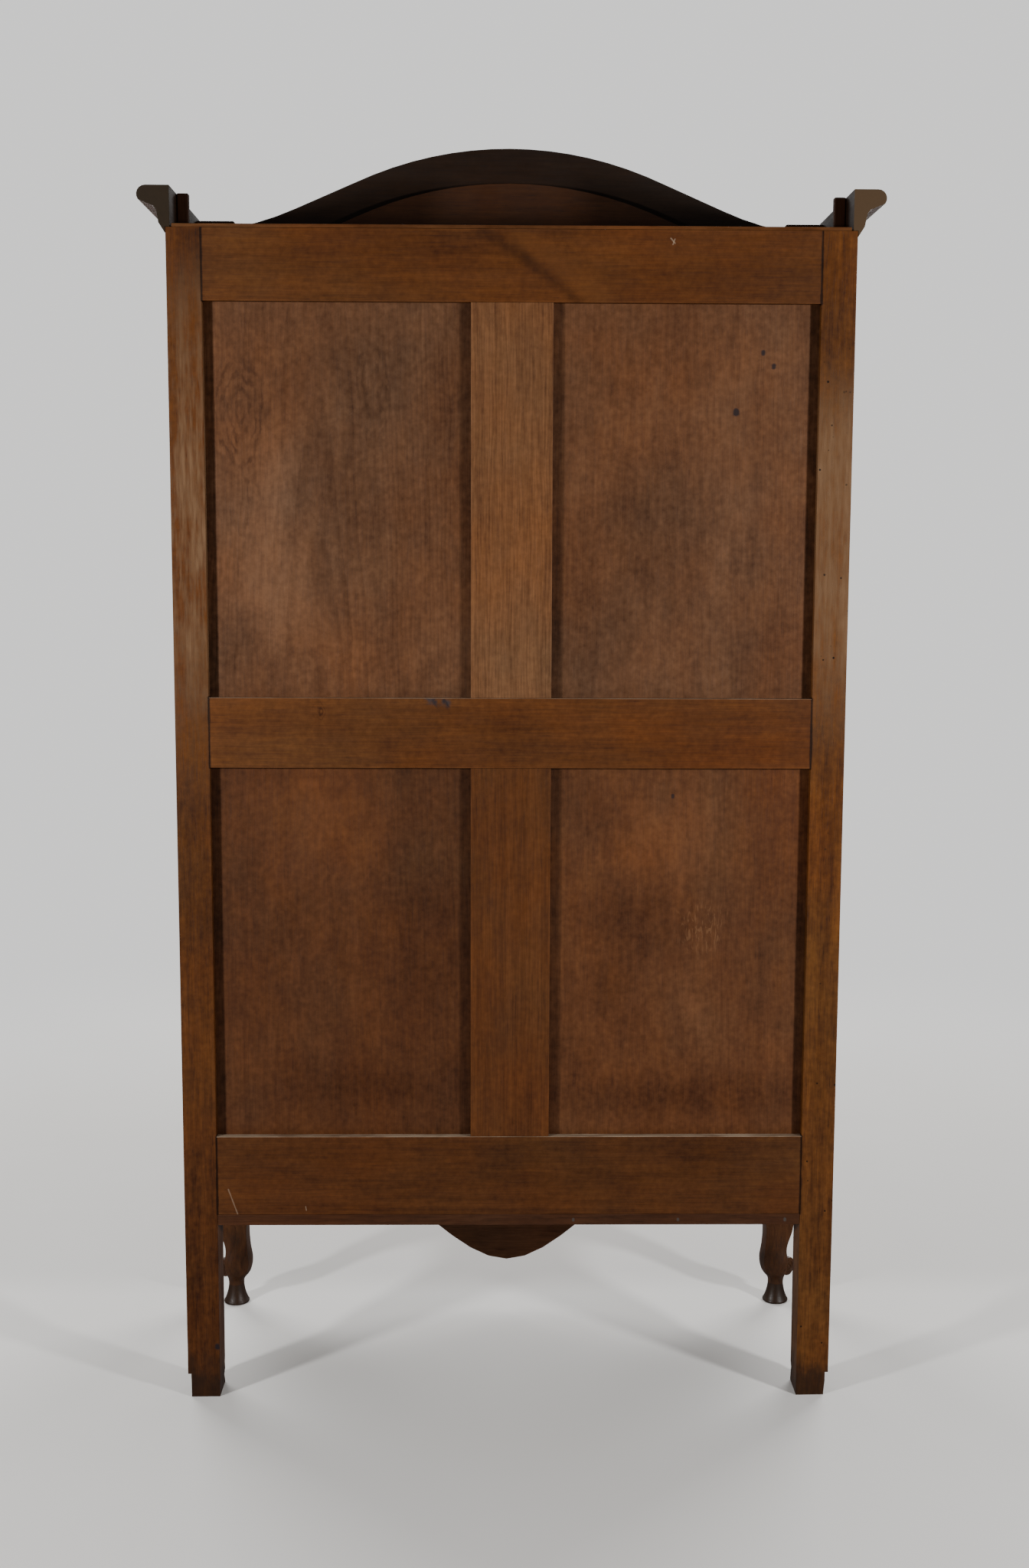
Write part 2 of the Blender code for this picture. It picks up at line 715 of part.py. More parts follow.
def make_boards(carcase):
    """Bottom board, top board, and shelves that lie on the cleats of the posts."""
    low = BOTTOM_BOARD_TOP - BOTTOM_BOARD_THICK
    seat(notched_board("bottom_board", FACE_BACK + FIT, REAR, low, BOTTOM_BOARD_TOP), WALNUT, carcase)

    edge = SIDE - TOP_BOARD_INSET
    low = (-edge, FACE_BACK + FIT, TOP_BOARD_TOP - TOP_BOARD_THICK)
    seat(box_piece("top_board", low, (edge, REAR, TOP_BOARD_TOP)), PALE_WOOD, carcase)

    for word, height in SHELF_HEIGHTS.items():
        shelf = notched_board(f"shelf_{word}", SHELF_FRONT, SHELF_REAR, height, height + SHELF_THICK)
        seat(shelf, WALNUT, carcase)


def cornice_profile():
    """Moulding section: how far out and how high over the seat, from the inner face round."""
    points = [(0.0, 0.0), (0.0, CORNICE_HEIGHT)]
    centre_z = CORNICE_HEIGHT - NOSE_RADIUS
    for step in range(7):
        turn = math.radians(90.0 - NOSE_SWEEP * step / 6)
        points.append((CORNICE_FLAT + NOSE_RADIUS * math.cos(turn), centre_z + NOSE_RADIUS * math.sin(turn)))
    points.append((COVE_OUT, COVE_TOP))
    for step in range(1, 4):
        turn = math.radians(90.0 * step / 3)
        out = COVE_OUT - (COVE_OUT - COVE_FOOT_OUT) * math.sin(turn)
        points.append((out, COVE_FOOT + (COVE_TOP - COVE_FOOT) * math.cos(turn)))
    points += [(BEAD_OUT, BEAD_FOOT), (LIP_OUT, -LIP_DROP), (LIP_OUT, 0.0)]
    return points


def make_cornices(carcase):
    """Side mouldings and the arched front one, mitred at the front corners, with their glue blocks."""
    profile = cornice_profile()
    mitre = FIT / math.sqrt(2)
    for word, side in SIDES.items():
        rear_ring = [(side * (CORNICE_IN + out), REAR, CORNICE_SEAT + up) for out, up in profile]
        front_ring = []
        for out, up in profile:
            front_ring.append((side * (CORNICE_IN + out), CORNICE_IN_Y - out + mitre, CORNICE_SEAT + up))
        bm = bmesh.new()
        add_loft(bm, [rear_ring, front_ring])
        seat(finish_mesh(f"cornice_{word}", bm), WALNUT, carcase)

    rings = []
    for station in arch_stations() + ["mitre"]:
        ring = []
        for out, up in profile:
            x = station if station != "mitre" else CORNICE_IN + out - mitre
            ring.append((x, CORNICE_IN_Y - out, CORNICE_SEAT + up + arch_rise(x)))
        rings.append(ring)
    rings.insert(0, [(-x, y, z) for x, y, z in rings[-1]])
    bm = bmesh.new()
    add_loft(bm, rings)
    seat(finish_mesh("cornice_front", bm), DARK_WALNUT, carcase)

    near, y = CORNICE_IN - FIT, REAR - BLOCK_BACK
    for word, side in SIDES.items():
        low = (side * near, y - BLOCK_THICK / 2, TOP_BOARD_TOP + FIT)
        high = (side * (near - BLOCK_WIDTH), y + BLOCK_THICK / 2, CORNICE_SEAT + CORNICE_HEIGHT)
        seat(box_piece(f"cornice_block_{word}", low, high), WALNUT, carcase)


def make_front_rails(carcase):
    """Frieze under the arch and the apron with its middle drop."""
    frieze = board_piece(
        "frieze_rail",
        arch_stations(),
        lambda x: door_top(x) + DOOR_GAP,
        lambda x: CORNICE_SEAT - FIT + arch_rise(x),
        FACE,
        FACE_BACK,
    )
    join_boxes(frieze, frieze_tenons())
    cut_boxes(frieze, [bolt_socket("upper")])
    seat(frieze, DARK_WALNUT, carcase)
    across = spread(-RAIL_END, RAIL_END, APRON_STATIONS)
    apron = board_piece("apron_rail", across, front_apron_edge, lambda x: APRON_TOP, FACE, FACE_BACK)
    join_boxes(apron, apron_tenons())
    cut_boxes(apron, [bolt_socket("lower")])
    seat(apron, WALNUT, carcase)


def make_sides(carcase):
    """Side frames: a top rail and a scalloped apron round one tall pane."""
    y_low, y_high = FRONT_POST_BACK + FIT, REAR_POST_FRONT - FIT
    for word, side in SIDES.items():
        groove = [grown(*side_pane_box(side))]
        rail_low, rail_high = (side * SIDE_IN, y_low, SIDE_RAIL_LOW), (side * SIDE_OUT, y_high, POST_TOP)
        rail = box_piece(f"side_top_rail_{word}", rail_low, rail_high)
        join_boxes(rail, side_tenons(side, SIDE_RAIL_LOW, POST_TOP))
        cut_boxes(rail, groove)
        seat(rail, WALNUT, carcase)
        apron = board_piece(
            f"side_apron_{word}",
            spread(y_low, y_high, SIDE_APRON_STATIONS),
            side_apron_edge,
            lambda y: APRON_TOP,
            side * SIDE_IN,
            side * SIDE_OUT,
            along="y",
        )
        join_boxes(apron, side_tenons(side, APRON_BRACKET, APRON_TOP))
        cut_boxes(apron, groove)
        seat(apron, WALNUT, carcase)
        seat(box_piece(f"side_glass_{word}", *side_pane_box(side)), PANE, carcase)


def make_hinge_pin(name, side, z, carcase):
    """Fixed half of a hinge: barrel, pin and leaf."""
    low, high = hinge_half(z, True)
    bm = bmesh.new()
    add_rod(bm, (side * HINGE_X, HINGE_Y, low), (side * HINGE_X, HINGE_Y, high), BARREL_RADIUS)
    half = finish_mesh(name, bm)
    join_boxes(half, [leaf_box(side, z, True)])
    bm = bmesh.new()
    pin_top = z + HINGE_LENGTH / 2 - BARREL_RADIUS
    add_rod(bm, (side * HINGE_X, HINGE_Y, low + FIT), (side * HINGE_X, HINGE_Y, pin_top), HINGE_PIN_RADIUS)
    combine(half, bm, "UNION")
    smooth(half)
    seat(half, BRASS, carcase, (side * HINGE_X, HINGE_Y, z))


def make_hinge_knuckle(name, side, z, hinge):
    """Lift-off half of a hinge: bored barrel and leaf."""
    low, high = hinge_half(z, False)
    bm = bmesh.new()
    add_rod(bm, (side * HINGE_X, HINGE_Y, low), (side * HINGE_X, HINGE_Y, high), BARREL_RADIUS)
    half = finish_mesh(name, bm)
    join_boxes(half, [leaf_box(side, z, False)])
    bm = bmesh.new()
    bore_top = z + HINGE_LENGTH / 2 - BARREL_RADIUS + RUN
    bore = HINGE_PIN_RADIUS + RUN
    add_rod(bm, (side * HINGE_X, HINGE_Y, low - FIT), (side * HINGE_X, HINGE_Y, bore_top), bore)
    combine(half, bm, "DIFFERENCE")
    smooth(half)
    seat(half, BRASS, hinge, (side * HINGE_X, HINGE_Y, z))


# Doors

def make_door(word, side, hinge):
    """Frame of stiles and rails round a pane and a fielded panel, with its hinge knuckles."""
    outer, inner = POST_IN - DOOR_GAP, MEETING_GAP / 2
    outer_sight, inner_sight = outer - STILE_WIDTH, inner + STILE_WIDTH
    near_rail, far_rail = inner_sight + FIT, outer_sight - FIT
    middle_y = FACE + FRAME_THICK / 2

    def rail_low(x):
        return door_top(x) - DOOR_TOP_RAIL_HEIGHT

    rails = {
        "top": (rail_low, door_top),
        "middle": (lambda x: WAIST_BOTTOM, lambda x: WAIST_TOP),
        "bottom": (lambda x: DOOR_BOTTOM, lambda x: DOOR_BOTTOM + DOOR_BOTTOM_RAIL_HEIGHT),
    }
    tenons = {}
    for rail, (low, high) in rails.items():
        boxes = []
        for end, way in ((near_rail, -1), (far_rail, 1)):
            z_low, z_high = low(end) + TENON_SHOULDER, high(end) - TENON_SHOULDER
            near = (side * (end - way * TENON_ROOT), FACE_TENON_Y, z_low)
            far = (side * (end + way * TENON_LENGTH), FACE_TENON_Y + TENON_THICK, z_high)
            boxes.append((near, far))
        tenons[rail] = boxes

    glass_across = [side * x for x in spread(inner_sight - PANEL_LAP, outer_sight + PANEL_LAP, DOOR_STATIONS)]

    def add_pane(bm, extra):
        ends = [glass_across[0] - side * extra, *glass_across[1:-1], glass_across[-1] + side * extra]
        half = GLASS_THICK / 2 + extra
        add_board(
            bm,
            ends,
            lambda x: WAIST_TOP - PANEL_LAP - extra,
            lambda x: rail_low(x) + PANEL_LAP + extra,
            middle_y - half,
            middle_y + half,
        )

    panel_low = (side * (inner_sight - PANEL_LAP), middle_y - PANEL_THICK / 2)
    panel_high = (side * (outer_sight + PANEL_LAP), middle_y + PANEL_THICK / 2)
    panel_low += (DOOR_BOTTOM + DOOR_BOTTOM_RAIL_HEIGHT - PANEL_LAP,)
    panel_high += (WAIST_BOTTOM + PANEL_LAP,)

    def groove(piece):
        cut_boxes(piece, [grown(panel_low, panel_high)])
        bm = bmesh.new()
        add_pane(bm, FIT)
        combine(piece, bm, "DIFFERENCE")

    for part, low_x, high_x, tenon in (("hinge", outer_sight, outer, 1), ("meeting", inner, inner_sight, 0)):
        stile = board_piece(
            f"{word}_door_{part}_stile",
            [side * x for x in spread(low_x, high_x, DOOR_STATIONS // 3)],
            lambda x: DOOR_BOTTOM,
            door_top,
            FACE,
            FACE_BACK,
        )
        groove(stile)
        cut_boxes(stile, [grown(*tenons[rail][tenon]) for rail in rails])
        if part == "hinge":
            cut_boxes(stile, [leaf_recess(side, z, False) for z in hinge_heights().values()])
        elif side > 0:
            cut_keyhole(stile)
        else:
            cut_boxes(stile, bolt_channels())
        seat(stile, WALNUT, hinge)

    for rail, (low, high) in rails.items():
        across = [side * x for x in spread(near_rail, far_rail, DOOR_STATIONS if rail == "top" else 1)]
        piece = board_piece(f"{word}_door_{rail}_rail", across, low, high, FACE, FACE_BACK)
        join_boxes(piece, tenons[rail])
        groove(piece)
        seat(piece, WALNUT, hinge)

    bm = bmesh.new()
    add_pane(bm, 0.0)
    seat(finish_mesh(f"{word}_door_glass", bm), PANE, hinge)

    bm = bmesh.new()
    add_box(bm, panel_low, panel_high)
    bm.faces.ensure_lookup_table()
    field = [face for face in bm.faces if face.normal.y < -0.5]
    bmesh.ops.inset_region(bm, faces=field, thickness=PANEL_LAP + FIELD_MARGIN, use_even_offset=True)
    bmesh.ops.inset_region(bm, faces=field, thickness=FIELD_BEVEL, use_even_offset=True)
    raised = list({vert for face in field for vert in face.verts})
    bmesh.ops.translate(bm, vec=(0.0, -FIELD_RISE, 0.0), verts=raised)
    seat(finish_mesh(f"{word}_door_panel", bm), PANEL_WOOD, hinge)

    for place, z in hinge_heights().items():
        make_hinge_knuckle(f"{word}_door_{place}_knuckle", side, z, hinge)


def cut_keyhole(stile):
    """Round hole for the key's shank with a slot below it for the bit."""
    bm = bmesh.new()
    y_low, y_high = FACE - FIT, FACE_BACK + FIT
    radius = KEY_SHANK_RADIUS + 2 * RUN
    add_rod(bm, (KEY_X, y_low, LOCK_HEIGHT), (KEY_X, y_high, LOCK_HEIGHT), radius)
    half = KEYHOLE_SLOT_WIDTH / 2
    add_box(bm, (KEY_X - half, y_low, LOCK_HEIGHT - KEYHOLE_SLOT), (KEY_X + half, y_high, LOCK_HEIGHT))
    combine(stile, bm, "DIFFERENCE")


def bolt_box():
    """The lock bolt, withdrawn."""
    tip = MEETING_GAP / 2 + LOCK_EDGE + BOLT_TIP
    low_z = LOCK_HEIGHT + KEY_BIT_REACH + RUN
    return (tip, BOLT_FRONT, low_z), (tip + BOLT_LENGTH, BOLT_FRONT + BOLT_THICK, low_z + BOLT_TALL)


def make_lock(door, key_axis, bolt_guide):
    """Lock case on the back of the right door, with its bolt and key."""
    edge = MEETING_GAP / 2
    low = (edge + LOCK_EDGE, LOCK_FRONT, LOCK_HEIGHT - LOCK_TALL / 2)
    high = (edge + LOCK_EDGE + LOCK_WIDTH, LOCK_FRONT + LOCK_THICK, LOCK_HEIGHT + LOCK_TALL / 2)
    case = box_piece("lock_case", low, high)
    bolt_low, bolt_high = bolt_box()
    tunnel_low, tunnel_high = grown(bolt_low, bolt_high, RUN)
    tunnel_low[0] = edge
    cut_boxes(case, [(tunnel_low, tunnel_high)])
    bm = bmesh.new()
    pocket_end = BOLT_FRONT + BOLT_THICK + RUN
    pocket = KEY_BIT_REACH + RUN
    add_rod(bm, (KEY_X, LOCK_FRONT - FIT, LOCK_HEIGHT), (KEY_X, pocket_end, LOCK_HEIGHT), pocket)
    combine(case, bm, "DIFFERENCE")
    seat(case, STEEL, door)

    seat(box_piece("lock_bolt", bolt_low, bolt_high), STEEL, bolt_guide)

    tip_y = BOLT_FRONT + BOLT_THICK
    bow_y = FACE - KEY_STAND_OFF - BOW_RADIUS
    bm = bmesh.new()
    add_rod(bm, (KEY_X, tip_y, LOCK_HEIGHT), (KEY_X, FACE - KEY_STAND_OFF, LOCK_HEIGHT), KEY_SHANK_RADIUS)
    key = finish_mesh("key", bm)
    half = KEY_BIT_WIDTH / 2
    bit_low = (KEY_X - half, BOLT_FRONT, LOCK_HEIGHT - KEY_BIT_REACH)
    join_boxes(key, [(bit_low, (KEY_X + half, tip_y, LOCK_HEIGHT))])
    bm = bmesh.new()
    centre = Vector((KEY_X, bow_y, LOCK_HEIGHT))
    verts = []
    for step in range(8):
        turn = 2 * math.pi * step / 8
        offset = Vector((BOW_WIRE * math.cos(turn), 0.0, BOW_RADIUS + BOW_WIRE * math.sin(turn)))
        verts.append(bm.verts.new(centre + offset))
    edges = [bm.edges.new((verts[i], verts[(i + 1) % 8])) for i in range(8)]
    bmesh.ops.spin(
        bm, geom=verts + edges, cent=centre, axis=(1, 0, 0), angle=2 * math.pi, steps=20, use_merge=True
    )
    combine(key, bm, "UNION")
    smooth(key)
    seat(key, STEEL, key_axis, (KEY_X, FACE, LOCK_HEIGHT))


# Bolts that slide in the meeting stile of the left door

def rod_ends(which):
    """End of the door, the way that the rod shoots, and the tip and tail of the withdrawn rod."""
    end, way = (door_top(ROD_X), 1) if which == "upper" else (DOOR_BOTTOM, -1)
    tip = end - way * ROD_END_GAP
    return end, way, tip, tip - way * ROD_LENGTH


def rod_box(tail, tip):
    half = ROD_WIDTH / 2
    return (ROD_X - half, ROD_FRONT, tail), (ROD_X + half, ROD_FRONT + ROD_THICK, tip)


def bolt_socket(which):
    """Room in the frieze or the apron for the tip of a rod that is shot."""
    end, way, tip, tail = rod_ends(which)
    return grown(*rod_box(end, tip + way * ROD_TRAVEL), RUN)


def bolt_channels():
    """Room in the stile for both rods, and slots at its back for their knobs."""
    boxes = []
    for which in ("upper", "lower"):
        end, way, tip, tail = rod_ends(which)
        knob = end - way * KNOB_END
        half = KNOB_RADIUS + RUN
        boxes.append(grown(*rod_box(tail, end + way * DOOR_GAP), RUN))
        low = (ROD_X - half, ROD_FRONT + ROD_THICK / 2, knob - way * half)
        high = (ROD_X + half, FACE_BACK + FIT, knob + way * (ROD_TRAVEL + half))
        boxes.append((low, high))
    return boxes


def make_bolt(which, guide):
    end, way, tip, tail = rod_ends(which)
    rod = box_piece(f"{which}_bolt", *rod_box(tail, tip))
    knob = end - way * KNOB_END
    bm = bmesh.new()
    root = (ROD_X, ROD_FRONT + ROD_THICK / 2, knob)
    add_rod(bm, root, (ROD_X, FACE_BACK + KNOB_OUT, knob), KNOB_RADIUS, sides=12)
    combine(rod, bm, "UNION")
    seat(rod, BRASS, guide)


def main():
    clear_scene()
    carcase = make_empty("carcase_frame", (0.0, 0.0, 0.0))
    for word, side in SIDES.items():
        make_rear_post(f"rear_post_{word}", side, carcase)
        make_front_post(f"front_post_{word}", side, carcase)
        make_front_foot(f"front_foot_{word}", side, carcase)
    make_back(carcase)
    make_boards(carcase)
    make_cornices(carcase)
    make_front_rails(carcase)
    make_sides(carcase)

    hinges = {}
    for word, side in SIDES.items():
        hinges[word] = make_empty(f"{word}_door_axis", (side * HINGE_X, HINGE_Y, DOOR_BOTTOM), carcase)
        make_door(word, side, hinges[word])
        for place, z in hinge_heights().items():
            make_hinge_pin(f"{word}_{place}_hinge_pin", side, z, carcase)
    key_axis = make_empty("key_axis", (KEY_X, FACE, LOCK_HEIGHT), hinges["right"])
    bolt_guide = make_empty("lock_bolt_guide", bolt_box()[0], hinges["right"])
    make_lock(hinges["right"], key_axis, bolt_guide)
    for which in ("upper", "lower"):
        guide = make_empty(f"{which}_bolt_guide", (ROD_X, ROD_FRONT, rod_ends(which)[0]), hinges["left"])
        make_bolt(which, guide)


main()
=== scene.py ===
import json
import math

import bmesh
import bpy
from mathutils import Matrix, Vector, noise

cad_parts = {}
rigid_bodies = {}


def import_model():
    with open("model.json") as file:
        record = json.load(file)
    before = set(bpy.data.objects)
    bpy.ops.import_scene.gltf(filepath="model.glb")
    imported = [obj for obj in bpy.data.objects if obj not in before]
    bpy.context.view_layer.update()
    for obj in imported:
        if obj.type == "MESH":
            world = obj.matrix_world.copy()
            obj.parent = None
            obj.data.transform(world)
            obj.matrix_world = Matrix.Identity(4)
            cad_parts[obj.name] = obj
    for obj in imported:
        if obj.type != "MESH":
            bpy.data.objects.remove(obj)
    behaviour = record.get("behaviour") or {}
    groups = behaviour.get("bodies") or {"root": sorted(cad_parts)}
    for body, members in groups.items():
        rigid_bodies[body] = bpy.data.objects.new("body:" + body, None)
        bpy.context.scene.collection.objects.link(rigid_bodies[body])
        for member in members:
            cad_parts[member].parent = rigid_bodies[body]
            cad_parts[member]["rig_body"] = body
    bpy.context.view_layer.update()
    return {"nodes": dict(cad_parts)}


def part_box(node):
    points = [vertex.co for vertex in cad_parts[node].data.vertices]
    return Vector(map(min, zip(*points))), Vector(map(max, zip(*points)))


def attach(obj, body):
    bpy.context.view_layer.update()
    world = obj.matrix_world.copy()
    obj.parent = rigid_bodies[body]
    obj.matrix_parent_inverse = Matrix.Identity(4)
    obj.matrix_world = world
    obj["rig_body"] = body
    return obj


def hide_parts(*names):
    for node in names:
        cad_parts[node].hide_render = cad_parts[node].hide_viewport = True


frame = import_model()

SIDES = {"left": -1, "right": 1}

# Sizes of the dressing, in metres
MERGE = 0.00002            # corners of a solid that are one point
FLAT = math.radians(0.4)   # faces that lie in one plane
ARRIS = math.radians(32)   # edges sharper than this are eased
SMOOTH = math.radians(44)  # edges flatter than this are shaded round
GROOVE_LAP = 0.009         # panels and panes inside their grooves
TENON = 0.020              # length of the rails' tenons
FIT = 0.0003               # play that the solids leave between two pieces
BEAD = 0.0075              # glazing beads

# Places that the frame gives
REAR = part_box("rear_post_right")[1].y
POST_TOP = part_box("rear_post_right")[1].z
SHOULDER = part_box("back_top_rail")[1].x - TENON
FACE, FACE_BACK = (corner.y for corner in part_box("right_door_hinge_stile"))


# Surface finishes

class Finish:
    """A surface finish under construction, read from Object coordinates."""

    def __init__(self, name):
        self.material = bpy.data.materials.new(name)
        self.material.use_nodes = True
        self.tree = self.material.node_tree
        self.shader = self.tree.nodes["Principled BSDF"]
        self.place = self.add("ShaderNodeTexCoord").outputs["Object"]

    def add(self, kind, sockets=(), **settings):
        """A new node with its settings, its sockets fed by name or number."""
        node = self.tree.nodes.new(kind)
        for key, value in settings.items():
            setattr(node, key, value)
        for key, value in dict(sockets).items():
            self.feed(node.inputs[key], value)
        return node

    def feed(self, socket, value):
        """Links a socket to another, or sets it to a plain value."""
        if isinstance(value, bpy.types.NodeSocket):
            self.tree.links.new(value, socket)
        else:
            socket.default_value = value

    def math(self, operation, *values):
        return self.add("ShaderNodeMath", enumerate(values), operation=operation).outputs[0]

    def vector(self, operation, first, second=(0.0, 0.0, 0.0)):
        """Length of a vector, or the product or distance of two."""
        node = self.add("ShaderNodeVectorMath", {0: first, 1: second}, operation=operation)
        return node.outputs["Value"]

    def moved(self, shift=(0.0, 0.0, 0.0), scale=(1.0, 1.0, 1.0)):
        """Object coordinates, scaled and then shifted."""
        sockets = dict(Vector=self.place, Location=shift, Scale=scale)
        return self.add("ShaderNodeMapping", sockets).outputs["Vector"]

    def split(self, vector):
        return dict(zip("XYZ", self.add("ShaderNodeSeparateXYZ", {0: vector}).outputs))

    def at(self, axis):
        """The object coordinate along one axis."""
        return self.split(self.place)[axis]

    def times(self, first, *others):
        """The product of sockets and plain values."""
        for other in others:
            first = self.math("MULTIPLY", first, other)
        return first

    def noise(self, waves, detail=3.0, roughness=0.55, twist=0.0):
        """Noise with so many waves per metre, the same along all axes or one number for each."""
        vector = self.moved(scale=[waves] * 3 if isinstance(waves, float) else waves)
        sockets = dict(Vector=vector, Scale=1.0, Detail=detail, Roughness=roughness, Distortion=twist)
        return self.add("ShaderNodeTexNoise", sockets).outputs[0]

    def band(self, value, low, high):
        """0 at low and 1 at high, with a smooth step between."""
        sockets = enumerate((value, low, high))
        return self.add("ShaderNodeMapRange", sockets, interpolation_type="SMOOTHSTEP").outputs[0]

    def fall(self, value, low, high):
        """1 at low and 0 at high, with a smooth step between."""
        return self.math("SUBTRACT", 1.0, self.band(value, low, high))

    def blend(self, share, first, second, kind="MIX"):
        sockets = {0: share, 6: first, 7: second}
        return self.add("ShaderNodeMix", sockets, data_type="RGBA", blend_type=kind).outputs[2]

    def ramp(self, value, stops):
        node = self.add("ShaderNodeValToRGB", {0: value})
        bar = node.color_ramp.elements
        while len(bar) < len(stops):
            bar.new(1.0)
        for stop, (at, colour) in zip(bar, stops):
            stop.position = at
            stop.color = colour
        return node.outputs[0]

    def gather(self, start, terms):
        """start plus each socket's share, given as (weight, socket, middle value)."""
        total = start - sum(weight * middle for weight, socket, middle in terms)
        for weight, socket, middle in terms:
            total = self.math("MULTIPLY_ADD", socket, weight, total)
        return total

    def from_line(self, start, end):
        """Distance from the stretch between two places (x, z) of the back."""
        start = Vector((start[0], 0.0, start[1]))
        run = Vector((end[0], 0.0, end[1])) - start
        offset = self.moved(shift=-start, scale=(1.0, 0.0, 1.0))
        share = self.math("DIVIDE", self.vector("DOT_PRODUCT", offset, run), run.length_squared)
        share = self.math("MINIMUM", self.math("MAXIMUM", share, 0.0), 1.0)
        node = self.add("ShaderNodeVectorMath", {0: run, "Scale": share}, operation="SCALE")
        return self.vector("DISTANCE", offset, node.outputs["Vector"])

    def relief(self, height, strength, distance):
        sockets = dict(Strength=strength, Distance=distance, Height=height)
        self.feed(self.shader.inputs["Normal"], self.add("ShaderNodeBump", sockets).outputs[0])

    def wear(self, **sockets):
        """Feeds the shader's sockets, named with underscores for spaces."""
        for key, value in sockets.items():
            self.feed(self.shader.inputs[key.replace("_", " ")], value)
        return self.material


def shade(colour, factor=1.0, warmth=0.0):
    """A colour made lighter or darker, and warmer or greyer, with full alpha."""
    red, green, blue = (part * factor for part in colour)
    return (red, green * (1 - warmth), blue * (1 - 2 * warmth), 1.0)


# Stained wood

# Features of the grain: waves per metre along it and across it, then the noise's detail, roughness and twist
FEATURES = {
    "drift": (1.3, 2.0, 2.0),
    "ripple": (7.0, 34.0),
    "streaks": (1.6, 55.0, 4.0, 0.6),
    "flecks": (24.0, 190.0, 2.0),
    "fibres": (11.0, 420.0, 3.0, 0.6),
    "pores": (38.0, 900.0, 1.0),
    "clouds": (3.2, 5.0, 4.0, 0.6, 0.6),
    "mottles": (14.0, 26.0, 3.0, 0.6),
    "grits": (105.0, 105.0, 3.0, 0.6),
    "tints": (4.5, 7.0),
}
MIDDLE_STAIN = 0.42               # place of the body colour on the stain's ramp
HUES = [(0.2, (1.14, 0.90, 0.62, 1.0)), (0.8, (0.86, 1.10, 1.38, 1.0))]
HUE_SHARE = 0.6
RUBBED_EDGE = (0.0003, 0.0028)    # rubbing is full at the first distance from an edge, none at the second
TOOTH_DEPTH = 0.0005              # relief of the open grain
FRAME_SHADOW_WIDTH = 0.016                    # painted shadow of the frame along the sides of a panel
# pale grey of bleached stain and painted sheen on the back between two heights
BLEACH_AND_SHEEN = (0.150, 0.080, 0.038)
BLEACH_AND_SHEEN_DEPTH = (0.040, 0.006)     # bleaching and painted sheen start and are full so far under the plane of the back


def stain_ramp(body):
    """Colours of one stain, from its palest to its darkest grain."""
    return [
        (0.0, shade(body, 1.75, -0.06)),
        (MIDDLE_STAIN, shade(body)),
        (0.74, shade(body, 0.52, 0.13)),
        (1.0, shade(body, 0.20, 0.20)),
    ]


def figure(finish, grain, feature):
    """Noise of one feature of the grain, stretched along it."""
    along, across, *settings = FEATURES[feature]
    return finish.noise([along if axis == grain[0] else across for axis in "XYZ"], *settings)


def growth_rings(finish, figures, grain_axes, pith, slope, bow, spacing):
    """Late wood of the growth rings round a pith that wanders along the log."""
    along, across, through = grain_axes
    side = finish.gather(-pith[0], [
        (1.0, across, 0.0), (0.05, figures["drift"], 0.5), (0.018, figures["ripple"], 0.5),
    ])
    deep = finish.gather(pith[1], [(1.0, through, 0.0), (slope, along, 0.0)])
    deep = finish.math("MULTIPLY_ADD", finish.times(along, along), bow, deep)
    radius = finish.math("SQRT", finish.math("ADD", finish.times(side, side), finish.times(deep, deep)))
    count = finish.math("DIVIDE", radius, spacing)
    part = finish.math("FRACT", count)
    year = {"W": finish.math("FLOOR", count)}
    year = finish.add("ShaderNodeTexWhiteNoise", year, noise_dimensions="1D")
    strength = finish.math("MULTIPLY_ADD", year.outputs["Value"], 0.7, 0.3)
    return finish.times(finish.band(part, 0.15, 0.90), finish.fall(part, 0.92, 1.0), strength)


def rubbed_arrises(finish, axes, half, mottles, amount):
    """Share of the stain that is rubbed off along the edges of a board."""
    away = [finish.math("ABSOLUTE", axes[axis]) for axis in "XYZ"]
    spans = [finish.math("SUBTRACT", *pair) for pair in zip(half, away)]
    pair_low = finish.math("MINIMUM", *spans[:2])
    pair_high = finish.math("MAXIMUM", *spans[:2])
    to_arris = finish.math("MAXIMUM", pair_low, finish.math("MINIMUM", pair_high, spans[2]))
    return finish.times(finish.fall(to_arris, *RUBBED_EDGE), finish.band(mottles, 0.42, 0.62), amount)


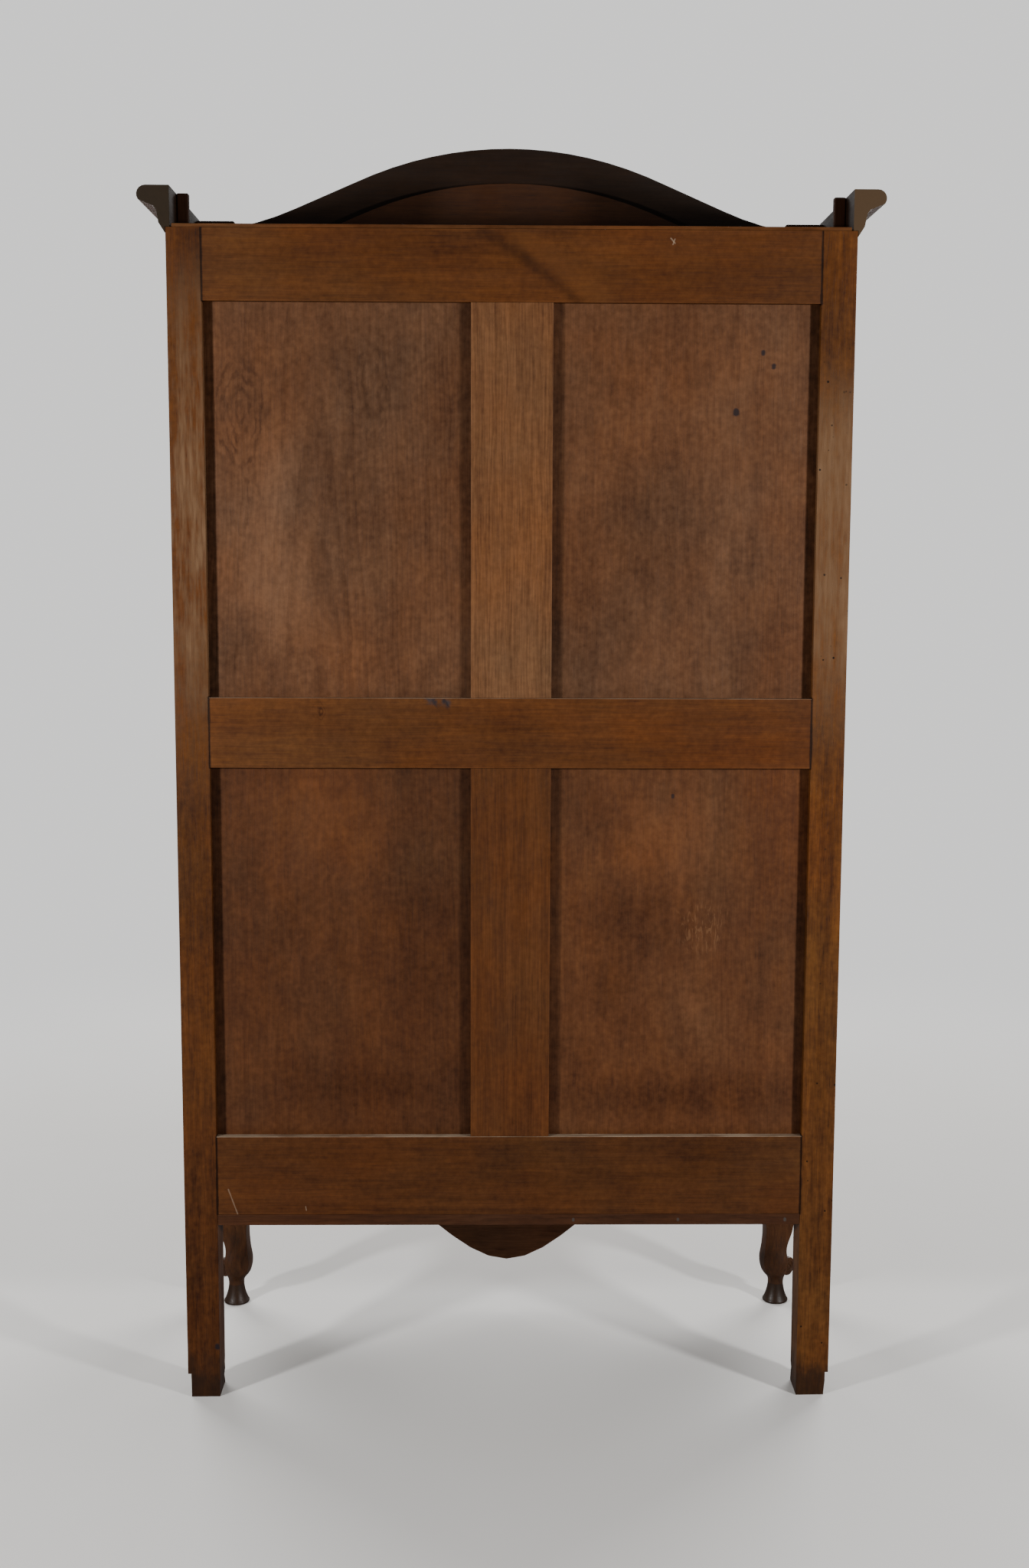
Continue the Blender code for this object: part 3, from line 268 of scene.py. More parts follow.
def stained_wood(
    name, node, grain, body, pith=(0.03, 0.10), slope=0.03, bow=0.0, spacing=0.006, ring=0.12, streak=0.12,
    fleck=0.08, fibre=0.10, cloud=0.16, mottle=0.07, grit=0.05, pore=0.20, rub=0.25, rough=0.50, gloss=0.14,
    tooth=0.30, frame_shadow=None, fade_and_sheen=None, patches=(), marks=(),
):
    """Stained timber cut from a log. grain names the axes along, across and through the board."""
    finish = Finish(name)
    low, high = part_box(node)
    axes = finish.split(finish.moved(shift=-(low + high) / 2))
    figures = {feature: figure(finish, grain, feature) for feature in FEATURES}
    fibres, clouds, mottles = figures["fibres"], figures["clouds"], figures["mottles"]
    pores = finish.band(figures["pores"], 0.60, 0.72)
    late = growth_rings(finish, figures, [axes[axis] for axis in grain], pith, slope, bow, spacing)

    # Depth of the stain, from rings, pores and the other features
    shares = dict(streaks=streak, flecks=fleck, fibres=fibre, clouds=cloud, mottles=mottle, grits=grit)
    terms = [(4 * share, figures[feature], 0.5) for feature, share in shares.items()]
    depth = finish.gather(MIDDLE_STAIN, [(ring, late, 0.25), *terms, (pore, pores, 0.1)])
    for patch in patches:
        depth = stain_patch(finish, depth, clouds, *patch)
    # painted shadow of the frame along the two sides of a panel
    if frame_shadow:
        depth = paint_frame_shadow(finish, depth, axes["X"], *frame_shadow)
    colour = finish.ramp(depth, stain_ramp(body))
    colour = finish.blend(HUE_SHARE, colour, finish.ramp(figures["tints"], HUES), "MULTIPLY")

    # Bleached stretches with a painted sheen, rubbed edges and marks
    if fade_and_sheen:
        shares = dict(clouds=4.0, streaks=4.0, flecks=2.4, mottles=1.6)
        uneven = finish.gather(1.0, [(share, figures[feature], 0.5) for feature, share in shares.items()])
        colour = bleach_and_sheen(finish, colour, uneven, *fade_and_sheen)
    rubbed = rubbed_arrises(finish, axes, (high - low) / 2, mottles, rub)
    colour = finish.blend(rubbed, colour, shade(body, 2.2, -0.05))
    for mark, *settings in marks:
        colour = mark(finish, colour, *settings)

    roughness = finish.gather(rough, [
        (0.3, mottles, 0.5), (0.25, fibres, 0.5), (0.12, pores, 0.1), (0.1, rubbed, 0.0),
    ])
    height = finish.gather(0.5, [
        (0.8, fibres, 0.5), (0.25, late, 0.3), (-0.5, pores, 0.1), (0.5, mottles, 0.5),
    ])
    finish.relief(height, tooth, TOOTH_DEPTH)
    return finish.wear(Base_Color=colour, Roughness=roughness, Specular_IOR_Level=gloss)


def stain_patch(finish, depth, clouds, x, z, wide, tall, amount):
    """A cloud of darker or paler stain round a place of the back."""
    near = finish.moved(shift=(-x / wide, 0.0, -z / tall), scale=(1.0 / wide, 0.0, 1.0 / tall))
    apart = finish.gather(0.0, [(1.0, finish.vector("LENGTH", near), 0.0), (3.6, clouds, 0.5)])
    return finish.math("MULTIPLY_ADD", finish.fall(apart, 0.0, 1.3), amount, depth)


def paint_frame_shadow(finish, depth, across, half, low_amount, high_amount):
    """Painted shadow of the frame, darkening the two sides of a panel where it meets its frame."""
    for way, amount in ((1.0, low_amount), (-1.0, high_amount)):
        to_side = finish.math("MULTIPLY_ADD", across, way, half)
        depth = finish.math("MULTIPLY_ADD", finish.fall(to_side, FRAME_SHADOW_WIDTH * 0.75, FRAME_SHADOW_WIDTH), amount, depth)
    return depth


def rearward(finish, start, full):
    """0 further than start under the plane of the back, and 1 nearer to it than full."""
    return finish.band(finish.at("Y"), REAR - start, REAR - full)


def bleach_and_sheen(finish, colour, uneven, low, high, fall_low, fall_high, amount):
    """Stain bleached by light, with a painted sheen, between two heights of the back."""
    height = finish.at("Z")
    share = finish.times(
        finish.band(height, low, high), uneven, finish.fall(height, fall_low, fall_high),
        rearward(finish, *BLEACH_AND_SHEEN_DEPTH), amount,
    )
    share = finish.math("MINIMUM", finish.math("MAXIMUM", share, 0.0), 1.0)
    return finish.blend(share, colour, shade(BLEACH_AND_SHEEN))


# Marks of age, and tones of painted shade and light, laid over a finish; the pieces list them as a function
# and its settings

INK = (0.010, 0.009, 0.012)
BLOOM = (0.030, 0.028, 0.031)
PALE = (0.34, 0.26, 0.18)
NAIL = (0.05, 0.045, 0.04)
DUST = (0.40, 0.31, 0.22)
GRIME = (0.010, 0.006, 0.004)
WORM_HOLE = (0.006, 0.003, 0.001)
RING_SHADE = (0.42, 0.36, 0.32)
FEATHER = (0.26, 0.13, 0.06)
JOINT_SHADE = (0.20, 0.18, 0.18)
JOINT_WIDTH = 0.0027
MARK_DEPTH = (0.018, 0.015)   # marks start and are full so far under the plane of the back
HOLE_DEPTH = (0.002, 0.001)   # and so do worm holes
FACE_BAND = (0.0015, 0.0005)  # another tone starts and is full so far under a face
DUST_BAND = (0.0009, 0.0002)  # and so does dust under an upper edge


def mark_line(finish, colour, start, end, width, soft, tint, amount, broken=0.0, kind="MIX"):
    """A streak, scratch or stroke between two places (x, z) of the back."""
    wander = finish.noise(60.0)
    apart = finish.gather(0.0, [(1.0, finish.from_line(start, end), 0.0), (width, wander, 0.5)])
    share = finish.fall(apart, width * (1 - soft), width)
    share = finish.times(share, amount, rearward(finish, *MARK_DEPTH))
    if broken:
        share = finish.times(share, finish.band(wander, 0.5 - broken, 0.5 + broken))
    return finish.blend(share, colour, shade(tint), kind)


def mark_spot(x, z, radius, tint, amount):
    """A round spot, a little taller than wide."""
    return mark_line, (x, z - radius * 0.3), (x, z + radius * 0.3), radius, 0.6, tint, amount


def mark_oval(finish, colour, x, z, reach, stretch, pitch, amount):
    """Growth rings that close round a high place of the board."""
    near = finish.moved(shift=(-x, 0.0, -z / stretch), scale=(1.0, 0.0, 1.0 / stretch))
    wander = finish.noise((26.0, 0.0, 12.0), 4.0, 0.6)
    apart = finish.gather(0.0, [(1.0, finish.vector("LENGTH", near), 0.0), (0.05, wander, 0.5)])
    wave = finish.math("SINE", finish.times(apart, 2 * math.pi / pitch))
    broken = finish.noise((60.0, 0.0, 20.0))
    share = finish.times(
        finish.band(wave, -0.4, 1.0), finish.fall(apart, reach * 0.5, reach), amount,
        finish.band(broken, 0.30, 0.65), rearward(finish, *MARK_DEPTH),
    )
    return finish.blend(share, colour, shade(RING_SHADE), "MULTIPLY")


def mark_feather(finish, colour, x, z, reach, amount):
    """Pale crossing strokes of feathered grain."""
    near = finish.moved(shift=(-x / reach, 0.0, -z / reach), scale=(1.0 / reach, 0.0, 1.0 / reach))
    strokes = finish.noise((120.0, 0.0, 26.0), 2.0, 0.6, 2.4)
    share = finish.times(
        finish.band(strokes, 0.54, 0.66), finish.fall(finish.vector("LENGTH", near), 0.35, 1.0), amount,
        rearward(finish, *MARK_DEPTH),
    )
    return finish.blend(share, colour, shade(FEATHER))


def dust_on(finish, colour, height, amount):
    """Dust lying along the upper edge of a rail."""
    patchy = finish.noise((12.0, 40.0, 0.0), 4.0, 0.6)
    patchy = finish.math("MULTIPLY_ADD", finish.band(patchy, 0.3, 0.7), 0.7, 0.3)
    start, full = (height - under for under in DUST_BAND)
    share = finish.times(finish.band(finish.at("Z"), start, full), patchy, amount)
    return finish.blend(share, colour, shade(DUST))


def worm_holes(finish, colour, spread, radius):
    """Flight holes of wood worm, in drifts."""
    near = finish.moved(scale=(1.0 / spread, 0.0, 1.0 / spread))
    cells = finish.add("ShaderNodeTexVoronoi", dict(Vector=near, Scale=1.0))
    span = radius / spread
    drifts = finish.noise(8.0, 2.0)
    share = finish.times(
        finish.fall(cells.outputs["Distance"], span * 0.6, span), finish.band(drifts, 0.42, 0.52),
        rearward(finish, *HOLE_DEPTH),
    )
    return finish.blend(share, colour, shade(WORM_HOLE))


def facing(finish, colour, axis, way, level, tint, amount, kind="MIX"):
    """Another tone on the faces that look along an axis, way being 1 or -1, at a level of it."""
    start, full = (way * level - under for under in FACE_BAND)
    share = finish.band(finish.times(finish.at(axis), way), start, full)
    return finish.blend(finish.times(share, amount), colour, shade(tint), kind)


def joint_line(word, rail):
    """A dark line where a rail of the back meets a rear post."""
    edge = SIDES[word] * SHOULDER
    low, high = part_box(f"back_{rail}_rail")
    ends = (edge, low.z), (edge, high.z)
    return mark_line, *ends, JOINT_WIDTH, 0.7, JOINT_SHADE, 0.9, 0.0, "MULTIPLY"


def floor_grime(finish, colour, height, amount):
    """Dirt and damp drawn up from the floor."""
    uneven = finish.noise((45.0, 45.0, 20.0), 4.0, 0.6)
    level = finish.gather(0.0, [(1.0, finish.at("Z"), 0.0), (height * 2.0, uneven, 0.5)])
    share = finish.times(finish.fall(level, height * 0.2, height), amount)
    return finish.blend(share, colour, shade(GRIME))


# Metal and glass

BRASS = (0.52, 0.36, 0.13)
STEEL = (0.30, 0.285, 0.265)
RUST = (0.10, 0.042, 0.018)
GLASS = (0.018, 0.024, 0.022)
DUSTY_GLASS = (0.034, 0.037, 0.034)
METAL_RELIEF = 0.0003


def brass(name):
    """Rubbed brass, tarnished in drifts."""
    finish = Finish(name)
    tarnish = finish.noise(90.0, 4.0, 0.6)
    rubs = finish.noise((900.0, 900.0, 60.0), 2.0)
    colour = finish.ramp(tarnish, [
        (0.30, shade(BRASS, 1.1)), (0.52, shade(BRASS, 0.8)), (0.72, shade(BRASS, 0.25, 0.1)),
    ])
    roughness = finish.gather(0.34, [(0.6, tarnish, 0.5), (0.2, rubs, 0.5)])
    finish.relief(finish.gather(0.5, [(0.5, tarnish, 0.5), (0.3, rubs, 0.5)]), 0.15, METAL_RELIEF)
    return finish.wear(Base_Color=colour, Roughness=roughness, Metallic=1.0)


def steel(name):
    """Dull steel with spots of rust."""
    finish = Finish(name)
    bloom = finish.noise(120.0, 4.0, 0.65)
    rust = finish.band(finish.noise(260.0), 0.58, 0.70)
    colour = finish.ramp(bloom, [(0.30, shade(STEEL, 1.15)), (0.70, shade(STEEL, 0.55))])
    colour = finish.blend(rust, colour, shade(RUST))
    roughness = finish.gather(0.36, [(0.6, bloom, 0.5), (0.3, rust, 0.0)])
    finish.relief(finish.gather(0.5, [(0.5, bloom, 0.5), (0.4, rust, 0.0)]), 0.2, METAL_RELIEF)
    metallic = finish.math("MULTIPLY_ADD", rust, -0.7, 1.0)
    return finish.wear(Base_Color=colour, Roughness=roughness, Metallic=metallic)


def old_glass(name):
    """Drawn window glass, a little wavy and dusty."""
    finish = Finish(name)
    waves = finish.noise((9.0, 9.0, 4.0), 2.0)
    dust = finish.noise(14.0, 3.0, 0.5)
    colour = finish.blend(finish.band(dust, 0.35, 0.8), shade(GLASS), shade(DUSTY_GLASS))
    roughness = finish.gather(0.02, [(0.05, finish.band(dust, 0.45, 0.75), 0.0)])
    finish.relief(waves, 0.06, 0.004)
    return finish.wear(Base_Color=colour, Roughness=roughness, Specular_IOR_Level=1.0, IOR=1.45, Alpha=0.14)


# Shapes

def merged_copy(node):
    """A node's solid with its corners joined and its flat faces whole."""
    shape = bmesh.new()
    shape.from_mesh(frame["nodes"][node].data)
    bmesh.ops.remove_doubles(shape, verts=shape.verts[:], dist=MERGE)
    bmesh.ops.dissolve_limit(shape, angle_limit=FLAT, verts=shape.verts[:], edges=shape.edges[:])
    return shape


def corners_of(verts):
    """Lowest and highest corner of the box round some points."""
    return [Vector(map(pick, *(vert.co for vert in verts))) for pick in (min, max)]


def edges_among(parts):
    return [part for part in parts if isinstance(part, bmesh.types.BMEdge) and part.is_valid]


def cut_level(shape, height, **settings):
    """Cuts a shape at a height."""
    whole = shape.verts[:] + shape.edges[:] + shape.faces[:]
    place = dict(plane_co=(0, 0, height), plane_no=(0, 0, 1))
    return bmesh.ops.bisect_plane(shape, geom=whole, dist=MERGE, **place, **settings)["geom_cut"]


def ease_arrises(shape, width, segments=2):
    """Rounds the sharp outer edges."""
    arrises = [edge for edge in shape.edges if edge.is_convex and edge.calc_face_angle() > ARRIS]
    bmesh.ops.bevel(
        shape, geom=arrises, offset=width, offset_type="OFFSET", affect="EDGES", segments=segments,
        profile=0.5, clamp_overlap=True, material=-1,
    )


def loft(rings, closed=False):
    """A skin bridged from ring to ring, capped at both ends unless it closes on itself."""
    shape = bmesh.new()
    loops = []
    for ring in rings:
        verts = [shape.verts.new(point) for point in ring]
        loops.append([shape.edges.new(pair) for pair in zip(verts, verts[1:] + verts[:1])])
    pairs = list(zip(loops, loops[1:]))
    if closed:
        pairs.append((loops[-1], loops[0]))
    else:
        for loop in (loops[0], loops[-1]):
            bmesh.ops.contextual_create(shape, geom=loop)
    for near, far in pairs:
        bmesh.ops.bridge_loops(shape, edges=near + far)
    bmesh.ops.recalc_face_normals(shape, faces=shape.faces[:])
    return shape


def turned(profile, foot, axis, steps):
    """A turned piece: profile is (radius, height) along the axis from its foot."""
    axis = Vector(axis).normalized()
    aside = axis.orthogonal().normalized()
    foot = Vector(foot)
    shape = bmesh.new()
    verts = [shape.verts.new(foot + aside * radius + axis * height) for radius, height in profile]
    edges = [shape.edges.new(pair) for pair in zip(verts, verts[1:])]
    bmesh.ops.spin(
        shape, geom=verts + edges, cent=foot, axis=axis, angle=2 * math.pi, steps=steps, use_merge=True
    )
    bmesh.ops.remove_doubles(shape, verts=shape.verts[:], dist=MERGE)
    bmesh.ops.recalc_face_normals(shape, faces=shape.faces[:])
    return shape


def block(low, high, ease):
    """A small squared piece with eased edges, between two corners given in any order."""
    low, high = Vector(low), Vector(high)
    size = [abs(b - a) for a, b in zip(low, high)]
    shape = bmesh.new()
    place = Matrix.Translation((low + high) / 2) @ Matrix.Diagonal((*size, 1.0))
    bmesh.ops.create_cube(shape, size=1.0, matrix=place)
    ease_arrises(shape, ease)
    return shape


def join(shapes):
    """Several shapes as one."""
    whole = bmesh.new()
    for shape in shapes:
        mesh = bpy.data.meshes.new("part")
        shape.to_mesh(mesh)
        shape.free()
        whole.from_mesh(mesh)
        bpy.data.meshes.remove(mesh)
    return whole


def place_piece(name, shape, body, finish, replaced=()):
    """Makes a piece of a shape, gives it its finish and sets it on its body."""
    mesh = bpy.data.meshes.new(name)
    shape.to_mesh(mesh)
    shape.free()
    if "custom_normal" in mesh.attributes:
        mesh.attributes.remove(mesh.attributes["custom_normal"])
    mesh.shade_smooth()
    mesh.set_sharp_from_angle(angle=SMOOTH)
    mesh.materials.append(finish)
    piece = bpy.data.objects.new(name, mesh)
    bpy.context.scene.collection.objects.link(piece)
    even = piece.modifiers.new("even_shading", "WEIGHTED_NORMAL")
    even.keep_sharp = True
    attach(piece, body)
    if replaced:
        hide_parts(*replaced)


def body_of(node):
    return frame["nodes"][node]["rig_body"]


def dress(node, finish, ease=0.0010, segments=2, shaping=None):
    """An eased piece that stands for a node."""
    shape = merged_copy(node)
    ease_arrises(shape, ease, segments)
    if shaping:
        shaping(shape)
    place_piece(node + "_dressed", shape, body_of(node), finish, [node])


# Back of the carcase

RAIL_BODY = (0.072, 0.0235, 0.0058)
PANEL_BODY = (0.091, 0.0385, 0.0170)
LOW_PANEL_BODY = (0.069, 0.0245, 0.0085)
CROSSING_SHADE = (0.20, 0.20, 0.24)
CROSSING_GLOW = (0.120, 0.044, 0.012)

# Rails: tone of the stain, dust on the upper edge, patches of stain as x, z, width, height and amount
BACK_RAILS = {
    "top": (1.0, 0.0, [(0.10, 1.775, 0.16, 0.04, 0.10), (-0.36, 1.74, 0.14, 0.05, 0.06)]),
    "middle": (1.10, 0.5, [(0.0, 1.055, 0.07, 0.05, 0.16)]),
    "bottom": (0.83, 0.75, [(-0.30, 0.39, 0.08, 0.04, 0.16), (0.0, 0.38, 0.06, 0.05, 0.10)]),
}
RAIL_MARKS = {
    # Strokes that cross the rail, and a scuff
    "top": [
        (mark_line, (0.044, 1.792), (-0.020, 1.754), 0.015, 1.0, CROSSING_SHADE, 0.38, 0.0, "MULTIPLY"),
        (mark_line, (-0.020, 1.754), (-0.098, 1.692), 0.015, 1.0, CROSSING_SHADE, 0.42, 0.0, "MULTIPLY"),
        (mark_line, (-0.010, 1.790), (-0.130, 1.700), 0.030, 1.0, CROSSING_GLOW, 0.28),
        (mark_line, (-0.232, 1.783), (-0.238, 1.776), 0.0016, 0.7, PALE, 0.5, 0.15),
        (mark_line, (-0.238, 1.782), (-0.235, 1.774), 0.0014, 0.7, PALE, 0.5, 0.15),
    ],
    # A smudge and a knot
    "middle": [
        (mark_line, (0.126, 1.104), (0.096, 1.100), 0.0085, 0.7, BLOOM, 0.78, 0.12),
        (mark_line, (0.116, 1.103), (0.106, 1.092), 0.0060, 0.6, INK, 0.62, 0.14),
        (mark_line, (0.101, 1.104), (0.095, 1.093), 0.0044, 0.6, INK, 0.72, 0.14),
        (mark_oval, 0.286, 1.088, 0.011, 1.3, 0.007, 0.8),
    ],
    # Two scratches
    "bottom": [
        (mark_line, (0.438, 0.340), (0.424, 0.300), 0.0016, 1.0, PALE, 0.30),
        (mark_line, (0.318, 0.312), (0.317, 0.306), 0.0011, 0.7, PALE, 0.35),
    ],
}
MUNTINS = {
    "upper": dict(body=(0.117, 0.050, 0.0198), spacing=0.0048, ring=0.11, fibre=0.13, streak=0.13),
    "lower": dict(body=(0.073, 0.0235, 0.0062), spacing=0.0060, ring=0.08, fibre=0.12, streak=0.16),
}

# Posts: bleaching with painted sheen is given by the two heights where it sets in, the two where it ends,
# and its strength
REAR_POSTS = {
    "left": dict(
        body=(0.076, 0.0250, 0.0047), fade_and_sheen=(0.98, 1.24, 1.46, 1.64, 0.46),
        marks=[(worm_holes, 0.019, 0.0021)],
    ),
    "right": dict(
        body=(0.061, 0.0187, 0.0038), fade_and_sheen=(0.90, 1.36, 1.50, 1.80, 0.78),
        marks=[mark_spot(0.459, 0.083, 0.005, INK, 0.9)],
        patches=[(0.475, 0.17, 0.06, 0.20, 0.16)],
    ),
}

# Panels: painted shadow of the frame lies along the outer and the inner side
FRAME_SHADOW_SHARES = {"upper": (0.33, 0.15), "lower": (0.22, 0.13)}
BACK_PANELS = {
    ("upper", "right"): dict(
        body=PANEL_BODY, ring=0.11,
        patches=[
            (0.242, 1.600, 0.13, 0.08, 0.12), (0.245, 1.42, 0.05, 0.16, 0.11),
            (0.345, 1.30, 0.05, 0.20, -0.16), (0.10, 1.52, 0.04, 0.22, 0.12), (0.42, 1.17, 0.05, 0.05, 0.14),
        ],
        marks=[
            (mark_oval, 0.403, 1.530, 0.056, 2.3, 0.0105, 0.60),
            (mark_oval, 0.405, 1.40, 0.036, 3.0, 0.011, 0.38),
            (mark_oval, 0.207, 1.560, 0.042, 2.8, 0.0110, 0.45),
        ],
    ),
    ("upper", "left"): dict(
        body=PANEL_BODY, ring=0.06,
        patches=[
            (-0.21, 1.36, 0.08, 0.12, 0.14), (-0.10, 1.25, 0.05, 0.18, 0.08),
            (-0.40, 1.18, 0.08, 0.10, 0.10),
        ],
        marks=[
            mark_spot(-0.373, 1.621, 0.0046, INK, 0.85),
            mark_spot(-0.389, 1.601, 0.0048, INK, 0.85),
            mark_spot(-0.334, 1.534, 0.0056, INK, 0.85),
        ],
    ),
    ("lower", "right"): dict(
        body=shade(LOW_PANEL_BODY, 0.93)[:3], ring=0.06,
        patches=[
            (0.13, 0.73, 0.08, 0.15, 0.18), (0.20, 0.50, 0.20, 0.05, 0.22), (0.34, 0.72, 0.09, 0.12, 0.08),
            (0.32, 0.90, 0.10, 0.10, -0.12),
        ],
    ),
    ("lower", "left"): dict(
        body=shade(LOW_PANEL_BODY, 1.17)[:3], ring=0.06,
        patches=[
            (-0.19, 0.765, 0.10, 0.06, 0.18), (-0.26, 0.485, 0.24, 0.04, 0.22),
            (-0.15, 0.66, 0.05, 0.06, 0.16), (-0.25, 0.90, 0.16, 0.09, -0.10),
            (-0.24, 0.62, 0.06, 0.05, -0.12),
        ],
        marks=[(mark_feather, -0.299, 0.754, 0.060, 0.22), mark_spot(-0.248, 0.957, 0.0036, INK, 0.75)],
    ),
}


def dress_back_rails():
    """The three flush rails of the back."""
    for rail, (tone, dust, patches) in BACK_RAILS.items():
        node = f"back_{rail}_rail"
        marks = RAIL_MARKS[rail] + [joint_line(word, rail) for word in SIDES]
        if dust:
            marks.append((dust_on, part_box(node)[1].z, dust))
        stain = stained_wood(
            f"{rail}_rail_stain", node, "XZY", shade(RAIL_BODY, tone)[:3], pith=(0.02, 0.16), slope=0.02,
            spacing=0.008, ring=0.06, fleck=0.07, cloud=0.13, mottle=0.09, grit=0.12, pore=0.10,
            marks=marks, patches=patches,
        )
        dress(node, stain, ease=0.0006)


def dress_muntins():
    """The upright dividers of the back."""
    for place, looks in MUNTINS.items():
        node = f"back_{place}_muntin"
        stain = stained_wood(
            f"{place}_muntin_stain", node, "ZXY", pith=(0.30, 0.05), slope=0.004, fleck=0.09, cloud=0.12,
            grit=0.10, pore=0.10, **looks,
        )
        dress(node, stain, ease=0.0005)


def dress_rear_posts():
    """Rear posts, bleached with a painted sheen in their upper half, and worn at the foot."""
    for word, looks in REAR_POSTS.items():
        node = f"rear_post_{word}"
        joints = [joint_line(word, rail) for rail in BACK_RAILS]
        marks = [*looks["marks"], (floor_grime, 0.075, 0.70), *joints]
        stain = stained_wood(
            f"{node}_stain", node, "ZXY", pith=(SIDES[word] * 0.04, 0.06), slope=0.015, spacing=0.005,
            ring=0.06, streak=0.20, fleck=0.14, mottle=0.13, grit=0.15, **(looks | {"marks": marks}),
        )
        dress(node, stain, ease=0.0016, shaping=wear_foot)


def dress_back_panels():
    """The four thin panels of the back."""
    for (place, word), looks in BACK_PANELS.items():
        node = f"back_panel_{place}_{word}"
        low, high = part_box(node)
        half = (high.x - low.x) / 2 - GROOVE_LAP
        # painted shadow of the frame, stronger on the panel's outer side
        shadow_shares = FRAME_SHADOW_SHARES[place] if word == "left" else FRAME_SHADOW_SHARES[place][::-1]
        stain = stained_wood(
            f"panel_{place}_{word}_stain", node, "ZXY", streak=0.06, fleck=0.06, fibre=0.05, cloud=0.13,
            mottle=0.11, grit=0.15, pore=0.08, frame_shadow=(half, *shadow_shares), **looks,
        )
        dress(node, stain, ease=0.0006)


# Feet of the rear posts
WORN_LOW = 0.003      # cuts start a step over this height
WORN_STEP = 0.010
WORN_CUTS = 23
WORN_TO = 0.25        # height up to which a foot is rubbed
CHIPPED_TO = 0.05
RUB_DEPTH = 0.0011
RUB_WAVES = Vector((9, 9, 26))
CHIP_DEPTH = 0.0075
CHIP_WAVES = Vector((60, 60, 120))


def wear_foot(shape):
    """Rubs and chips the lower end of a rear post."""
    for step in range(1, WORN_CUTS + 1):
        cut_level(shape, WORN_LOW + WORN_STEP * step)
    low, high = corners_of(shape.verts)
    centre = (low + high) / 2
    for vert in shape.verts:
        x, y, z = vert.co
        if z > WORN_TO:
            continue
        inward = Vector((centre.x - x, centre.y - y, 0.0)).normalized()
        wave = 0.5 + 0.5 * noise.noise(vert.co * RUB_WAVES)
        chip = max(0.0, noise.noise(vert.co * CHIP_WAVES) - 0.1)
        near_floor = max(0.0, 1 - z / CHIPPED_TO)
        vert.co += inward * (RUB_DEPTH * wave * (1 - z / WORN_TO) + CHIP_DEPTH * chip * near_floor)


# Boards and cornice

BOTTOM_BOARD_BODY = (0.041, 0.0148, 0.0058)
TOP_BOARD_BODY = (0.115, 0.062, 0.031)
SHELF_BODY = (0.110, 0.050, 0.020)
MOULDING_BODY = (0.056, 0.0215, 0.0085)
FRIEZE_BODY = (0.066, 0.0235, 0.0080)
BLOCK_BODY = (0.025, 0.0098, 0.0046)
TOP_EDGE_SHADE = (0.72, 0.50, 0.34)
UNLIT_MOULDING = (0.25, 0.305, 0.39)
UNLIT_FRIEZE = (0.48, 0.49, 0.53)
# grey-brown end grain of the side mouldings' rear ends, with painted light: the left end lighter, the right
# darker
CORNICE_END_GRAIN_AND_LIGHT = {"left": (0.067, 0.041, 0.0210), "right": (0.0205, 0.0148, 0.0088)}
NAIL_PLACES = (-0.432, -0.264, -0.100)
NAIL_HEIGHT = 0.290


def dress_boards():
    """Bottom board, top board and shelves."""
    nails = [mark_spot(x, NAIL_HEIGHT, 0.0030, NAIL, 0.8) for x in NAIL_PLACES]
    stain = stained_wood("bottom_board_stain", "bottom_board", "XYZ", BOTTOM_BOARD_BODY, marks=nails)
    dress("bottom_board", stain)
    edge = (facing, "Y", 1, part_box("top_board")[1].y, TOP_EDGE_SHADE, 1.0, "MULTIPLY")
    bare = stained_wood(
        "top_board_bare", "top_board", "XYZ", TOP_BOARD_BODY, cloud=0.2, rough=0.72, gloss=0.05, rub=0.0,
        marks=[edge],
    )
    dress("top_board", bare, ease=0.0005)
    stain = stained_wood("shelf_stain", "shelf_middle", "XYZ", SHELF_BODY, slope=0.05)
    for word in ("lower", "middle", "upper"):
        dress(f"shelf_{word}", stain, ease=0.002, segments=3)


def moulding_stain(name, node, grain, body, **looks):
    """Stain of the cornice's mouldings and of the frieze."""
    return stained_wood(name, node, grain, body, pith=(0.1, 0.2), slope=0.01, ring=0.05, **looks)


def block_stain(piece, node, grain):
    """Dark stain of the blocks and cleats behind the cornice."""
    return stained_wood(f"{piece}_stain", node, grain, BLOCK_BODY, rub=0.0, gloss=0.07)


def dress_cornice():
    """Mouldings over the carcase and the glue blocks behind them."""
    for node, name, body, unlit in (
        ("cornice_front", "arched_cornice_stain", MOULDING_BODY, UNLIT_MOULDING),
        ("frieze_rail", "frieze_stain", FRIEZE_BODY, UNLIT_FRIEZE),
    ):
        marks = [(facing, "Y", 1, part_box(node)[1].y, unlit, 1.0, "MULTIPLY")]
        stain = moulding_stain(name, node, "XZY", body, marks=marks, gloss=0.18, rough=0.46, tooth=0.08)
        dress(node, stain, ease=0.0008)
    for word, side in SIDES.items():
        node = f"cornice_{word}"
        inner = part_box(node)[side < 0].x
        marks = [
            (facing, "X", -side, inner, UNLIT_MOULDING, 1.0, "MULTIPLY"),
            # rear end grain, with painted light: the left end lighter than the right
            (facing, "Y", 1, REAR, CORNICE_END_GRAIN_AND_LIGHT[word], 0.9),
        ]
        stain = moulding_stain(
            f"{node}_stain", node, "YZX", MOULDING_BODY, marks=marks, gloss=0.11, rough=0.62, tooth=0.03,
        )
        dress(node, stain, ease=0.0008)
        node = f"cornice_block_{word}"
        dress(node, block_stain(node, node, "ZXY"), ease=0.0025, segments=3)


# Front and sides

FRONT_BODY = (0.078, 0.0275, 0.0088)


def front_stain(node, grain, **looks):
    """Stain of the polished front and sides."""
    return stained_wood(f"{node}_stain", node, grain, FRONT_BODY, **looks)


